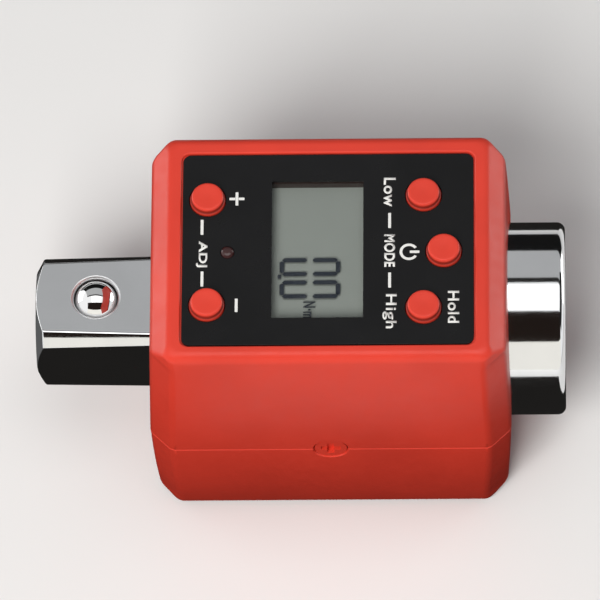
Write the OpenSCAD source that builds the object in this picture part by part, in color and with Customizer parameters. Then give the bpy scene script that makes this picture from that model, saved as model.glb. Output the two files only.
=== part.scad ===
// Digital torque adapter: a steel gauge shaft with a male square and a square socket,
// carried in a two-part moulded housing with a display, five keys and an indicator.
// X runs along the shaft from the male square to the socket, Y to the back and Z up.
// The origin is on the ground under the shaft axis, midway along the overall length.

/* [Housing] */
// Length of the housing along the shaft, at the seam
housing_l = 44.9; // [44:0.1:54]
// Depth of the housing from front to back, at the seam
housing_d = 36.5; // [36:0.1:44]
// Height of the seam and the shaft axis above the foot
axis_h = 19.5; // [18.5:0.1:24]
// Height of the flat top above the shaft axis
crown_h = 18.9; // [18.6:0.1:24]
// Radius of the bow in the front and back walls
bow_r = 68; // [60:1:120]
// Rounding of the long edges at the top and the foot
long_edge_r = 1.2; // [0.8:0.1:1.6]
// Rounding of the upright edges
upright_edge_r = 1.2; // [0.3:0.1:1.5]
// Width of the sloped band at each end, seen from above
slope_w = 2.3; // [1.5:0.1:2.4]
// Drop of the sloped band
slope_drop = 1.9; // [1.2:0.1:2]
// Taper of each end wall between the seam and the band
end_taper = 0.5; // [0:0.1:0.7]
// Cut of the four upright corners along each side
corner_cut = 2.7; // [2:0.1:3.4]
// Cut that is left of them at the flat top and the foot
corner_end_cut = 0.1; // [0.1:0.1:1]
// Thickness of the side and end walls
wall_t = 1.8; // [1.5:0.1:2]
// Thickness of the top wall at the rim of the panel
ceiling_t = 2; // [1.8:0.1:2.2]
// Thickness of the floor
floor_t = 2; // [2:0.1:2.4]

/* [Drive square] */
// Size of the square across its flats
drive_size = 12.7; // [12.6:0.05:12.8]
// Length of the square outside the housing
drive_l = 14.25; // [13:0.05:18]
// Radius of the turned corners at the housing
drive_corner_r = 8.25; // [8:0.05:8.5]
// Radius of the turned corners behind the nose
drive_nose_r = 7.95; // [7.7:0.05:8.2]
// Radius of the flat end of the nose
nose_flat_r = 6.2; // [5.5:0.1:6.3]
// Length of the turned bevel of the nose
nose_bevel_l = 0.95; // [0.5:0.05:1.2]
// Radius of the detent ball
ball_r = 2.9; // [2.8:0.05:3]
// Radius of the lip that holds the ball in
ball_lip_r = 2.58; // [2.4:0.01:2.6]
// Distance of the ball from the nose
ball_back = 7.5; // [6.5:0.1:9]
// Radius of the coned mouth round the ball
ball_mouth_r = 3.25; // [3.1:0.05:3.5]
// Depth of that mouth
ball_mouth_d = 0.35; // [0.2:0.05:0.4]
// Mean radius of the detent spring
spring_r = 2.1; // [1.9:0.05:2.2]
// Wire radius of the detent spring
spring_wire_r = 0.3; // [0.2:0.05:0.35]
// Turns of the detent spring
spring_turns = 4; // [3:1:5]
// Length of the detent spring, between the middles of its end wires
spring_l = 4.3; // [4:0.1:5]

/* [Gauge shaft] */
// Radius of the journal at the drive end
journal_r = 8.8; // [8.6:0.1:8.9]
// Length of the journal
journal_l = 7.6; // [7:0.1:8]
// Radius of the turned corners of the gauge waist
waist_r = 7; // [6.6:0.1:7.4]
// Size of the gauge waist across its flats
waist_size = 12; // [11:0.1:12.4]
// Radius of the hub
hub_r = 10; // [9.5:0.1:10.3]
// Length of the hub on the drive side of the housing's middle
hub_back = 4; // [3.4:0.1:4.5]
// Radius of the socket collar
collar_r = 12; // [11.6:0.1:12.2]
// Length of the collar outside the housing
collar_l = 6.8; // [6:0.1:10]
// Length of the collar inside the housing
collar_back = 10.2; // [9:0.1:11]
// Rounding of the collar's lip
lip_r = 1; // [0.5:0.1:1.4]
// Size of the square socket across its flats
socket_size = 12.85; // [12.75:0.05:12.95]
// Depth of the square socket
socket_depth = 16.5; // [15:0.1:18]
// Radius of the groove that takes a ball inside the socket
socket_groove_r = 7.5; // [7.2:0.1:8]
// Width of that groove
socket_groove_w = 5; // [4:0.1:6]
// Distance of that groove's middle from the mouth
socket_groove_back = 7.5; // [6:0.1:9]
// Bevel at the mouth of the socket
socket_bevel = 1; // [0.5:0.1:1.2]

/* [Panel] */
// Rim of the housing at each end of the key panel, seen from above
panel_rim_l = 4.35; // [4:0.05:4.6]
// Rim of the housing in front of and behind the key panel, seen from above
panel_rim_d = 4.75; // [4.6:0.05:5.2]
// Corner radius of the panel
panel_r = 1; // [0.5:0.1:2]
// Depth of the recess that takes the panel
panel_recess = 0.45; // [0.35:0.05:0.5]
// Thickness of the panel overlay
overlay_t = 0.3; // [0.2:0.05:0.35]
// Shift of the panel towards the front
panel_shift = 0.2; // [0:0.1:0.5]
// Length of the display opening
window_l = 11.3; // [10:0.1:11.5]
// Rim of the panel in front of and behind the display opening
window_rim_d = 3.875; // [3.7:0.025:4.5]
// Shift of the display from the panel's middle towards the drive end
window_shift = 1.3; // [1.1:0.1:1.4]
// Margin of the clear window round the display opening
lens_margin = 2.1; // [1.8:0.1:2.2]
// Thickness of the clear window
lens_t = 0.5; // [0.3:0.05:0.6]

/* [Keys] */
// Radius of a key's top
key_r = 2; // [1.8:0.05:2.1]
// Radius of a key's foot at the panel
key_foot_r = 2.17; // [2:0.01:2.25]
// Height of a key above the panel
key_h = 1; // [0.6:0.05:1.4]
// Rounding of a key's top edge
key_edge_r = 0.3; // [0.1:0.05:0.4]
// Distance of the plus and minus keys from the panel's drive end
left_key_rim_l = 3.2; // [3.1:0.1:3.4]
// Distance of the plus and minus keys from the panel's long edges
left_key_rim_d = 6.1; // [6.1:0.1:7.5]
// Distance of the low and high keys from the panel's socket end
right_key_rim_l = 6.3; // [6.1:0.1:6.4]
// Distance of the low and high keys from the panel's long edges
right_key_rim_d = 5.6; // [5.5:0.1:6.5]
// Distance of the power key from the panel's socket end
power_key_rim_l = 3.8; // [3.7:0.1:4.1]
// Shift of all keys towards the front of the panel
key_shift = 0.4; // [0:0.1:0.4]
// Distance of the indicator from the panel's drive end
light_rim_l = 5.7; // [5.3:0.1:6.1]
// Radius of the indicator
light_r = 0.8; // [0.6:0.05:0.9]

/* [Board] */
// Space between the ceiling and the board
board_gap = 3.4; // [3.3:0.1:3.6]
// Thickness of the board
board_t = 1; // [0.8:0.1:1.2]
// Space between the board and the wall at the drive end
board_space_left = 3.15; // [2.85:0.05:3.25]
// Space between the board and the wall at the socket end
board_space_right = 3.95; // [3.85:0.05:4.05]
// Space between the board and the walls in front of and behind it
board_space_d = 3.35; // [3.15:0.05:3.45]
// Thickness of the display glass
lcd_t = 1.8; // [1.4:0.1:2]

/* [Battery] */
// Radius of the coin cell
cell_r = 10; // [9.8:0.1:10.1]
// Thickness of the coin cell
cell_t = 3.2; // [3:0.1:3.4]
// Radius of the battery cover
cover_r = 11.1; // [11:0.1:11.3]
// Reach of the cover's lugs past its rim
lug_reach = 1.2; // [0.8:0.1:1.3]
// Turn of the cover between locked and open, in degrees
cover_turn = 55; // [45:1:60]

/* [Fasteners] */
// Shank radius of the screws that join the shells
shell_screw_r = 1; // [0.8:0.05:1.1]
// Shank length of the screws that join the shells
shell_screw_l = 14; // [13:0.5:15]
// Shank radius of the seam screws
anchor_screw_r = 1.25; // [1:0.05:1.4]
// Head radius of the seam screws
anchor_head_r = 2; // [1.9:0.05:2.2]
// Shank radius of the board screws
board_screw_r = 0.8; // [0.7:0.05:0.9]

/* [Hidden] */
$fn = 64;
fine_fn = 32;
wire_fn = 16;

// Colours
housing_red = [0.84, 0.25, 0.19];
key_red = [0.88, 0.27, 0.2];
chrome = [0.78, 0.79, 0.8];
steel = [0.62, 0.63, 0.65];
panel_black = [0.1, 0.1, 0.11];
part_black = [0.16, 0.16, 0.17];
lcd_green = [0.55, 0.58, 0.54];
board_green = [0.1, 0.38, 0.22];
brass = [0.8, 0.62, 0.3];
nylon = [0.9, 0.89, 0.84];
lead_red = [0.75, 0.12, 0.1];
gauge_amber = [0.85, 0.55, 0.2];

// Clearances and shared small sizes
overrun = 1;
slice_t = 0.01;
fit_gap = 0.05;
key_gap = 0.1;
loose_gap = 0.3;
quarter_turn = 90;
third_turn = 120;

// Places along the shaft
shoulder_in = 0.4;
total_l = drive_l + housing_l + collar_l;
nose_x = -total_l / 2;
mouth_x = total_l / 2;
left_x = nose_x + drive_l;
right_x = left_x + housing_l;
mid_x = (left_x + right_x) / 2;
inner_left_x = left_x + wall_t;
inner_right_x = right_x - wall_t;
shoulder_x = left_x + shoulder_in;
waist_x = shoulder_x + journal_l;
hub_x = mid_x - hub_back;
waist_mid_x = (waist_x + hub_x) / 2;
collar_x = right_x - collar_back;
ball_x = nose_x + ball_back;

// Places up the housing and to the front
top_z = axis_h + crown_h;
panel_floor_z = top_z - panel_recess;
overlay_z = panel_floor_z + overlay_t;
ceiling_z = top_z - ceiling_t;
board_z = ceiling_z - board_gap;
board_under_z = board_z - board_t;
flat_z = axis_h + drive_size / 2;
panel_y = -panel_shift;
keys_y = panel_y - key_shift;
inner_y = housing_d / 2 - wall_t;
panel_l = housing_l - 2 * panel_rim_l;
panel_d = housing_d - 2 * panel_rim_d;
window_d = panel_d - 2 * window_rim_d;
board_left = housing_l / 2 - wall_t - board_space_left;
board_right = housing_l / 2 - wall_t - board_space_right;
board_d = 2 * (inner_y - board_space_d);

// Seats of the bush and the seals
seal_d = 1.5;
bush_w = 2;
bush_t = 1.8;
saddle_t = 1.5;
saddle_lip = 0.8;
bush_r = journal_r + fit_gap + bush_t;
bush_pocket_r = bush_r + fit_gap;
bush_pocket_l = seal_d + bush_w + 3 * fit_gap;
drive_saddle_r = bush_pocket_r + saddle_t;
drive_passage_r = journal_r + loose_gap;
socket_passage_r = collar_r + loose_gap / 2;
seal_bore_r = socket_passage_r + loose_gap;
socket_saddle_r = seal_bore_r + saddle_t;
socket_saddle_l = 3.5;
socket_seal_x = inner_right_x - socket_saddle_l / 2;
seal_groove_r = seal_bore_r - fit_gap - seal_d;
seal_groove_w = seal_d + 2 * key_gap;

// Screws and their bosses
shell_head_r = 1.8;
shell_head_t = 1.4;
shell_boss_r = 2.2;
shell_screw_z = 11;
shell_screw_top_z = shell_screw_z + shell_screw_l;
boss_web_t = 1.2;
boss_cap_t = 1.2;
boss_y = (hub_r + inner_y) / 2;
left_boss_space = 7.45;
right_boss_space = 11.65;
left_boss_x = inner_left_x + left_boss_space;
right_boss_x = inner_right_x - right_boss_space;
anchor_head_t = 1.4;
anchor_sink = 0.15;
anchor_boss_r = 3;
anchor_thread_l = 4.5;
anchor_seat_y = housing_d / 2 - anchor_sink - anchor_head_t;
board_boss_r = 1.4;
board_boss_rim = 1.7;
left_board_boss_rim = 6.2;
right_board_boss_rim = 8.4;
board_boss_y = board_d / 2 - board_boss_rim;
left_board_boss_x = mid_x - board_left + left_board_boss_rim;
right_board_boss_x = mid_x + board_right - right_board_boss_rim;
board_head_r = 1.4;
board_head_t = 1;
board_thread_l = 2.6;
slot_share = 0.22;
slot_depth = 0.8;
tongue_h = 1;

// Outline of the housing: half depth and half length at z from the seam, in a half of height h
function edge_angle(h) = asin((h - long_edge_r) / (bow_r - long_edge_r));
function bow_depth(z) = housing_d / 2 - bow_r + sqrt(bow_r * bow_r - z * z);
function edge_depth(z, h) =
    housing_d / 2 - bow_r + (bow_r - long_edge_r) * cos(edge_angle(h))
    + sqrt(max(0, long_edge_r * long_edge_r - pow(z - h + long_edge_r, 2)));
function half_depth(z, h) = z <= bow_r * sin(edge_angle(h)) ? bow_depth(z) : edge_depth(z, h);
function band_z(h) = h - slope_drop;
function half_length(z, h) =
    z <= band_z(h)
    ? housing_l / 2 - end_taper * z / band_z(h)
    : housing_l / 2 - end_taper - slope_w * (z - band_z(h)) / slope_drop;
// Corner cut at the same height, which runs out over the band
function corner_at(z, h) =
    z <= band_z(h)
    ? corner_cut
    : corner_cut - (corner_cut - corner_end_cut) * (z - band_z(h)) / slope_drop;
// Heights at which the outline is taken: evenly up the wall, then by angle round the edge
bow_steps = 6;
edge_steps = 5;
function levels(h) = concat(
    [for (i = [0 : bow_steps]) band_z(h) * i / bow_steps],
    [for (i = [0 : edge_steps])
        h - long_edge_r
        + long_edge_r * sin(edge_angle(h) + (quarter_turn - edge_angle(h)) * i / edge_steps)]
);
function octagon(l, d, c) = [
    [l, c - d], [l, d - c], [l - c, d], [c - l, d],
    [-l, d - c], [-l, c - d], [c - l, -d], [l - c, -d]
];
// Cut of a corner whose three sides are all drawn in by the same inset
function inset_cut(c, inset) = c - (2 - sqrt(2)) * inset;

// Solid half of the housing, from the seam at zero up to h
module half_form(h) {
    hull()
        for (z = levels(h))
            translate([0, 0, z - slice_t * z / h])
                linear_extrude(height = slice_t)
                    offset(r = upright_edge_r, $fn = fine_fn)
                        offset(delta = -upright_edge_r)
                            polygon(octagon(half_length(z, h), half_depth(z, h), corner_at(z, h)));
}

// Space inside such a half, from just below the seam up to its ceiling
space_steps = 4;
module half_space(h, skin_t) {
    top = h - skin_t;
    hull()
        for (i = [-1 : space_steps]) {
            z = max(0, top * i / space_steps);
            translate([0, 0, i < 0 ? -overrun : z - slice_t * i / space_steps])
                linear_extrude(height = slice_t)
                    polygon(octagon(
                        max(half_length(z, h), half_length(band_z(h), h)) - wall_t,
                        half_depth(z, h) - wall_t,
                        inset_cut(corner_cut, wall_t)
                    ));
        }
}

// Ring round the seam between two insets from the outer face
module seam_ring(outer_inset, inner_inset, height) {
    linear_extrude(height = height)
        difference() {
            polygon(octagon(
                housing_l / 2 - outer_inset, housing_d / 2 - outer_inset,
                inset_cut(corner_cut, outer_inset)
            ));
            polygon(octagon(
                housing_l / 2 - inner_inset, housing_d / 2 - inner_inset,
                inset_cut(corner_cut, inner_inset)
            ));
        }
}

// Places its children on the seam in the middle of the housing
module at_seam() {
    translate([mid_x, 0, axis_h])
        children();
}

// Cylinder on the shaft axis from x0 to x1
module shaft_cyl(x0, x1, r) {
    translate([x0, 0, axis_h])
        rotate([0, quarter_turn, 0])
            cylinder(h = x1 - x0, r = r);
}

module shaft_ring(x0, x1, r_out, r_in) {
    difference() {
        shaft_cyl(x0, x1, r_out);
        shaft_cyl(x0 - overrun, x1 + overrun, r_in);
    }
}

// Body turned on the shaft axis from points of [radius, x]
module turned(points) {
    translate([0, 0, axis_h])
        rotate([0, quarter_turn, 0])
            rotate_extrude()
                polygon(points);
}

// Cylinder square to the seam's front or back, from y0 out to y1 on the side sy
module seam_cyl(sy, y0, y1, r) {
    translate([mid_x, sy * y0, axis_h])
        rotate([-sy * quarter_turn, 0, 0])
            cylinder(h = y1 - y0, r = r);
}

// Square bar on the shaft axis
module shaft_bar(x0, x1, size) {
    translate([x0, -size / 2, axis_h - size / 2])
        cube([x1 - x0, size, size]);
}

// Plate with rounded corners, its middle at the origin
module round_plate(l, d, r, t) {
    translate([r - l / 2, -d / 2, 0])
        cube([l - 2 * r, d, t]);
    translate([-l / 2, r - d / 2, 0])
        cube([l, d - 2 * r, t]);
    for (sx = [-1, 1], sy = [-1, 1])
        translate([sx * (l / 2 - r), sy * (d / 2 - r), 0])
            cylinder(h = t, r = r, $fn = fine_fn);
}

// Block with its middle at the origin and its foot at zero
module block(l, d, h) {
    translate([-l / 2, -d / 2, 0])
        cube([l, d, h]);
}

// Cross recess cut down from the origin
module cross_slot(head_r) {
    for (a = [0, quarter_turn])
        rotate([0, 0, a])
            translate([0, 0, -slot_depth])
                block(head_r * (1 + slot_share), 2 * head_r * slot_share, slot_depth + overrun);
}

// Screw pointing up from the origin, with its head below
module screw(shank_r, shank_l, head_r, head_t) {
    cylinder(h = shank_l, r = shank_r, $fn = fine_fn);
    difference() {
        translate([0, 0, -head_t])
            cylinder(h = head_t, r = head_r);
        translate([0, 0, -head_t])
            mirror([0, 0, 1])
                cross_slot(head_r);
    }
}

// Ring of round section on the shaft axis
module round_seal(x, r_in) {
    translate([x, 0, axis_h])
        rotate([0, quarter_turn, 0])
            rotate_extrude()
                translate([r_in + seal_d / 2, 0])
                    circle(d = seal_d, $fn = fine_fn);
}

// Straight stretches of wire through the points, with a round elbow at each
module wire(points, r) {
    for (i = [0 : len(points) - 2]) {
        step = points[i + 1] - points[i];
        translate(points[i])
            rotate([0, acos(step[2] / norm(step)), atan2(step[1], step[0])])
                cylinder(h = norm(step), r = r, $fn = wire_fn);
    }
    for (i = [1 : len(points) - 2])
        translate(points[i])
            sphere(r = r, $fn = wire_fn);
}

// Ball and spring of the drive square
ball_z = flat_z - ball_mouth_d - sqrt(pow(ball_r + fit_gap, 2) - pow(ball_lip_r, 2));
spring_top_z = ball_z - sqrt(pow(ball_r + spring_wire_r + fit_gap, 2) - pow(spring_r, 2));
spring_floor_z = spring_top_z - spring_l - spring_wire_r - fit_gap;

module drive_square() {
    intersection() {
        shaft_bar(nose_x, shoulder_x, drive_size);
        turned([
            [0, nose_x], [nose_flat_r, nose_x], [drive_nose_r, nose_x + nose_bevel_l],
            [drive_corner_r, left_x], [drive_corner_r, shoulder_x], [0, shoulder_x]
        ]);
    }
}

module gauge_waist() {
    intersection() {
        shaft_bar(waist_x, hub_x, waist_size);
        shaft_cyl(waist_x, hub_x, waist_r);
    }
}

// Hub and collar, with the collar's lip rounded
lip_steps = 6;
module hub_and_collar() {
    turned(concat(
        [[0, hub_x], [hub_r, hub_x], [hub_r, collar_x], [collar_r, collar_x]],
        [for (i = [0 : lip_steps])
            let (a = quarter_turn * i / lip_steps)
            [collar_r - lip_r + lip_r * cos(a), mouth_x - lip_r + lip_r * sin(a)]],
        [[0, mouth_x]]
    ));
}

module ball_pocket() {
    translate([ball_x, 0, spring_floor_z])
        cylinder(h = ball_z - spring_floor_z, r = ball_r + fit_gap);
    translate([ball_x, 0, ball_z])
        sphere(r = ball_r + fit_gap);
    translate([ball_x, 0, flat_z - ball_mouth_d])
        cylinder(h = ball_mouth_d, r1 = ball_lip_r, r2 = ball_mouth_r);
    translate([ball_x, 0, flat_z])
        cylinder(h = overrun, r = ball_mouth_r);
}

// Square socket with its drilled bottom, mouth bevel and ball groove
drill_r = 6.3;
drill_l = 1.5;
module square_socket() {
    shaft_bar(mouth_x - socket_depth, mouth_x + overrun, socket_size);
    shaft_cyl(mouth_x - socket_depth - drill_l, mouth_x, drill_r);
    shaft_cyl(
        mouth_x - socket_groove_back - socket_groove_w / 2,
        mouth_x - socket_groove_back + socket_groove_w / 2,
        socket_groove_r
    );
    translate([mouth_x - socket_bevel, 0, axis_h])
        rotate([0, quarter_turn, 0])
            cylinder(
                h = socket_bevel + overrun,
                r1 = socket_size * sqrt(2) / 2 - socket_bevel,
                r2 = socket_size * sqrt(2) / 2 + overrun
            );
}

module torque_shaft() {
    color(chrome)
        difference() {
            union() {
                drive_square();
                shaft_cyl(shoulder_x, waist_x, journal_r);
                gauge_waist();
                hub_and_collar();
            }
            ball_pocket();
            square_socket();
            for (sy = [-1, 1])
                seam_cyl(
                    sy, hub_r - anchor_thread_l - loose_gap, hub_r + overrun,
                    anchor_screw_r + fit_gap
                );
            shaft_ring(
                socket_seal_x - seal_groove_w / 2, socket_seal_x + seal_groove_w / 2,
                collar_r + overrun, seal_groove_r
            );
        }
}

module detent_ball() {
    color(chrome)
        translate([ball_x, 0, ball_z])
            sphere(r = ball_r);
}

// Coil spring under the ball, its two end half turns closed
coil_steps = 14;
wire_sides = 8;
closed_turns = 0.5;
function coil_rise(turn) =
    min(1, max(0, (turn - closed_turns) / (spring_turns - 2 * closed_turns)));
function coil_ring(turn) = [
    for (j = [0 : wire_sides - 1])
        let (
            a = 4 * quarter_turn * turn,
            b = 4 * quarter_turn * j / wire_sides,
            reach = spring_r + spring_wire_r * cos(b)
        )
        [reach * cos(a), reach * sin(a), spring_l * coil_rise(turn) + spring_wire_r * sin(b)]
];
module detent_spring() {
    rings = coil_steps * spring_turns;
    points = [for (i = [0 : rings]) each coil_ring(i / coil_steps)];
    sides = [
        for (i = [0 : rings - 1], j = [0 : wire_sides - 1])
            let (k = (j + 1) % wire_sides, a = i * wire_sides, b = a + wire_sides)
            each [[a + j, b + j, b + k], [a + j, b + k, a + k]]
    ];
    ends = [
        [for (j = [0 : wire_sides - 1]) j],
        [for (j = [wire_sides - 1 : -1 : 0]) rings * wire_sides + j]
    ];
    color(steel)
        translate([ball_x, 0, spring_top_z - spring_l])
            polyhedron(points = points, faces = concat(sides, ends));
}

module drive_end_bush() {
    color(nylon)
        shaft_ring(
            inner_left_x + seal_d + 2 * fit_gap, inner_left_x + seal_d + 2 * fit_gap + bush_w,
            bush_r, journal_r + fit_gap
        );
}

module drive_end_seal() {
    color(part_black)
        round_seal(inner_left_x + fit_gap + seal_d / 2, journal_r + fit_gap);
}

module socket_end_seal() {
    color(part_black)
        round_seal(socket_seal_x, seal_groove_r + fit_gap / 2);
}

// Four foil gauges, one on each flat of the waist
gauge_l = 5;
gauge_w = 4;
gauge_t = 0.15;
module strain_gauges() {
    color(gauge_amber)
        for (a = [0 : 3])
            translate([waist_mid_x, 0, axis_h])
                rotate([quarter_turn * a, 0, 0])
                    translate([0, 0, waist_size / 2])
                        block(gauge_l, gauge_w, gauge_t);
}

// Leads from each gauge up to the underside of the board
lead_r = 0.3;
lead_shift = 1.2;
lead_rise = 1.1;
lead_x = waist_mid_x + lead_shift;
side_lead_y = hub_r + lead_r + fit_gap;
module gauge_leads() {
    top = waist_size / 2 + gauge_t;
    color(lead_red) {
        wire([[lead_x, 0, axis_h + top], [lead_x, 0, board_under_z]], lead_r);
        for (sy = [-1, 1])
            wire([
                [lead_x, sy * top, axis_h], [lead_x, sy * side_lead_y, axis_h],
                [lead_x, sy * side_lead_y, board_under_z]
            ], lead_r);
        wire([
            [lead_x - lead_rise, 0, axis_h - top], [lead_x - lead_rise, 0, axis_h - top - lead_rise],
            [lead_x - lead_rise, side_lead_y, axis_h - top - lead_rise],
            [lead_x - lead_rise, side_lead_y, board_under_z]
        ], lead_r);
    }
}

// Bosses and saddles that both shells have round the seam
module seam_fittings() {
    for (sy = [-1, 1])
        seam_cyl(sy, hub_r + 2 * loose_gap, housing_d / 2, anchor_boss_r);
    shaft_cyl(inner_left_x - overrun, inner_left_x + bush_pocket_l + saddle_lip, drive_saddle_r);
    shaft_cyl(inner_right_x - socket_saddle_l, inner_right_x + overrun, socket_saddle_r);
}

// Columns of the shell screws from z0 to z1, each with a web to the wall
module screw_columns(z0, z1) {
    for (x = [left_boss_x, right_boss_x], sy = [-1, 1])
        translate([x, sy * boss_y, z0]) {
            cylinder(h = z1 - z0, r = shell_boss_r);
            translate([0, sy * (inner_y + overrun - boss_y) / 2, 0])
                block(boss_web_t, inner_y + overrun - boss_y, z1 - z0);
        }
}

module shell_screw_places() {
    for (x = [left_boss_x, right_boss_x], sy = [-1, 1])
        translate([x, sy * boss_y, 0])
            children();
}

module board_screw_places() {
    for (x = [left_board_boss_x, right_board_boss_x], sy = [-1, 1])
        translate([x, sy * board_boss_y, 0])
            children();
}

// Openings for the shaft, its bush and seals, and the seam screws
module seam_openings() {
    shaft_cyl(left_x - overrun, mid_x, drive_passage_r);
    shaft_cyl(inner_left_x, inner_left_x + bush_pocket_l, bush_pocket_r);
    shaft_cyl(mid_x, right_x + overrun, socket_passage_r);
    shaft_cyl(inner_right_x - socket_saddle_l - overrun, inner_right_x, seal_bore_r);
    for (sy = [-1, 1]) {
        seam_cyl(sy, hub_r, housing_d / 2, anchor_screw_r + loose_gap);
        seam_cyl(sy, anchor_seat_y, housing_d / 2 + overrun, anchor_head_r + key_gap);
    }
}

// Display parts
lcd_margin = 1.35;
lcd_l = window_l + 2 * lcd_margin;
lcd_d = window_d + 2 * lcd_margin;
lens_l = window_l + 2 * lens_margin;
lens_d = window_d + 2 * lens_margin;
lens_corner_r = 0.6;
lens_z = panel_floor_z - lens_t;
lcd_z = lens_z - key_gap - lcd_t;
frame_wall_t = 0.7;
frame_bar_w = 2;
connector_w = 1.6;

module at_display() {
    translate([mid_x - window_shift, panel_y, 0])
        children();
}

// Places and names of the keys
left_key_x = left_key_rim_l - panel_l / 2;
right_key_x = panel_l / 2 - right_key_rim_l;
left_key_y = panel_d / 2 - left_key_rim_d;
right_key_y = panel_d / 2 - right_key_rim_d;
key_x = [left_key_x, left_key_x, right_key_x, panel_l / 2 - power_key_rim_l, right_key_x];
key_y = [left_key_y, -left_key_y, right_key_y, 0, -right_key_y];
plus = 0;
minus = 1;
low = 2;
power = 3;
high = 4;
module at_key(k) {
    translate([mid_x + key_x[k], keys_y + key_y[k], 0])
        children();
}

module at_light() {
    translate([mid_x + light_rim_l - panel_l / 2, keys_y, 0])
        children();
}

module panel_openings(key_hole_r, light_hole_r, z0, z1) {
    for (k = [plus : high])
        at_key(k)
            translate([0, 0, z0])
                cylinder(h = z1 - z0, r = key_hole_r);
    at_light()
        translate([0, 0, z0])
            cylinder(h = z1 - z0, r = light_hole_r);
}

module upper_shell() {
    color(housing_red)
        difference() {
            at_seam()
                half_form(crown_h);
            difference() {
                at_seam()
                    half_space(crown_h, ceiling_t);
                seam_fittings();
                screw_columns(axis_h, shell_screw_top_z + 2 * boss_cap_t);
                board_screw_places()
                    translate([0, 0, board_z])
                        cylinder(h = ceiling_t + board_gap, r = board_boss_r);
            }
            seam_openings();
            at_seam()
                translate([0, 0, -overrun])
                    seam_ring(
                        wall_t / 2 - key_gap, wall_t + loose_gap, overrun + tongue_h + key_gap
                    );
            shell_screw_places()
                translate([0, 0, axis_h - overrun])
                    cylinder(
                        h = shell_screw_top_z + boss_cap_t - axis_h + overrun,
                        r = shell_screw_r + fit_gap, $fn = fine_fn
                    );
            board_screw_places()
                translate([0, 0, board_z - overrun])
                    cylinder(
                        h = board_thread_l + loose_gap + overrun,
                        r = board_screw_r + fit_gap, $fn = fine_fn
                    );
            translate([mid_x, panel_y, panel_floor_z])
                round_plate(
                    panel_l + 2 * fit_gap, panel_d + 2 * fit_gap, panel_r + fit_gap,
                    panel_recess + overrun
                );
            at_display() {
                translate([0, 0, lens_z])
                    round_plate(
                        lens_l + 2 * fit_gap, lens_d + 2 * fit_gap, lens_corner_r + fit_gap,
                        lens_t + overrun
                    );
                translate([0, 0, ceiling_z - overrun])
                    block(lcd_l + 2 * key_gap, lcd_d + 2 * key_gap, ceiling_t + overrun);
            }
            panel_openings(
                key_foot_r + key_gap, light_r + fit_gap, ceiling_z - overrun, top_z + overrun
            );
        }
}

// Battery tray in the floor, with the turn-lock seat of its cover
tray_shift = 2;
tray_x = mid_x - tray_shift;
cover_sink = 0.2;
lock_lip_t = 0.9;
lug_gap = 0.2;
lug_w = 6;
pad_wall_t = 1.2;
pad_h = 3.2;
groove_r = cover_r + lug_reach + 2 * lug_gap;
tray_wall_t = 1.3;
cover_top_z = floor_t;
cell_z = cover_top_z + key_gap;
contact_room = 0.6;
roof_z = cell_z + cell_t + contact_room;
roof_t = 0.9;
contact_w = 3;
contact_t = 0.25;
rivet_r = 0.8;
module at_tray() {
    translate([tray_x, 0, 0])
        children();
}

// Three bars that reach from the middle to the lugs' ends
module lug_bars(r, w, h) {
    intersection() {
        cylinder(h = h, r = r);
        for (i = [0 : 2])
            rotate([0, 0, quarter_turn + third_turn * i])
                translate([0, -w / 2, 0])
                    cube([r + overrun, w, h]);
    }
}

module battery_tray() {
    at_tray() {
        cylinder(h = pad_h, r = groove_r + pad_wall_t);
        cylinder(h = roof_z + roof_t, r = cell_r + loose_gap + tray_wall_t);
    }
}

module battery_openings() {
    at_tray() {
        translate([0, 0, -overrun])
            cylinder(h = cover_top_z + key_gap + overrun, r = cover_r + lug_gap);
        translate([0, 0, lock_lip_t])
            cylinder(h = cover_top_z + key_gap - lock_lip_t, r = groove_r);
        rotate([0, 0, cover_turn])
            translate([0, 0, -overrun])
                lug_bars(
                    cover_r + lug_reach + lug_gap, lug_w + 2 * lug_gap, cover_top_z + overrun
                );
        translate([0, 0, cover_top_z])
            cylinder(h = roof_z - cover_top_z, r = cell_r + loose_gap);
        translate([0, 0, roof_z - overrun])
            cylinder(h = roof_t + 2 * overrun, r = rivet_r + fit_gap, $fn = fine_fn);
        translate([0, cell_r - overrun + contact_t + 2 * fit_gap, cover_top_z])
            block(contact_w + 2 * key_gap, 2 * overrun, roof_z);
    }
}

module lower_shell() {
    color(housing_red)
        difference() {
            union() {
                difference() {
                    at_seam()
                        mirror([0, 0, 1])
                            half_form(axis_h);
                    difference() {
                        at_seam()
                            mirror([0, 0, 1])
                                half_space(axis_h, floor_t);
                        seam_fittings();
                        screw_columns(0, axis_h);
                        battery_tray();
                    }
                }
                at_seam()
                    seam_ring(wall_t / 2, wall_t, tongue_h);
            }
            seam_openings();
            battery_openings();
            shell_screw_places() {
                translate([0, 0, -overrun])
                    cylinder(h = shell_screw_z + overrun, r = shell_head_r + key_gap);
                cylinder(h = axis_h + overrun, r = shell_screw_r + key_gap, $fn = fine_fn);
            }
        }
}

module display_overlay() {
    color(panel_black)
        difference() {
            translate([mid_x, panel_y, panel_floor_z])
                round_plate(panel_l, panel_d, panel_r, overlay_t);
            at_display()
                translate([0, 0, panel_floor_z - overrun])
                    block(window_l, window_d, 2 * overrun);
            panel_openings(
                key_foot_r + key_gap, light_r + fit_gap, panel_floor_z - overrun,
                overlay_z + overrun
            );
        }
}

module display_window() {
    color([0.8, 0.85, 0.85, 0.35])
        at_display()
            translate([0, 0, lens_z])
                round_plate(lens_l, lens_d, lens_corner_r, lens_t);
}

module lcd_panel() {
    color(lcd_green)
        at_display()
            translate([0, 0, lcd_z])
                block(lcd_l, lcd_d, lcd_t);
}

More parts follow.
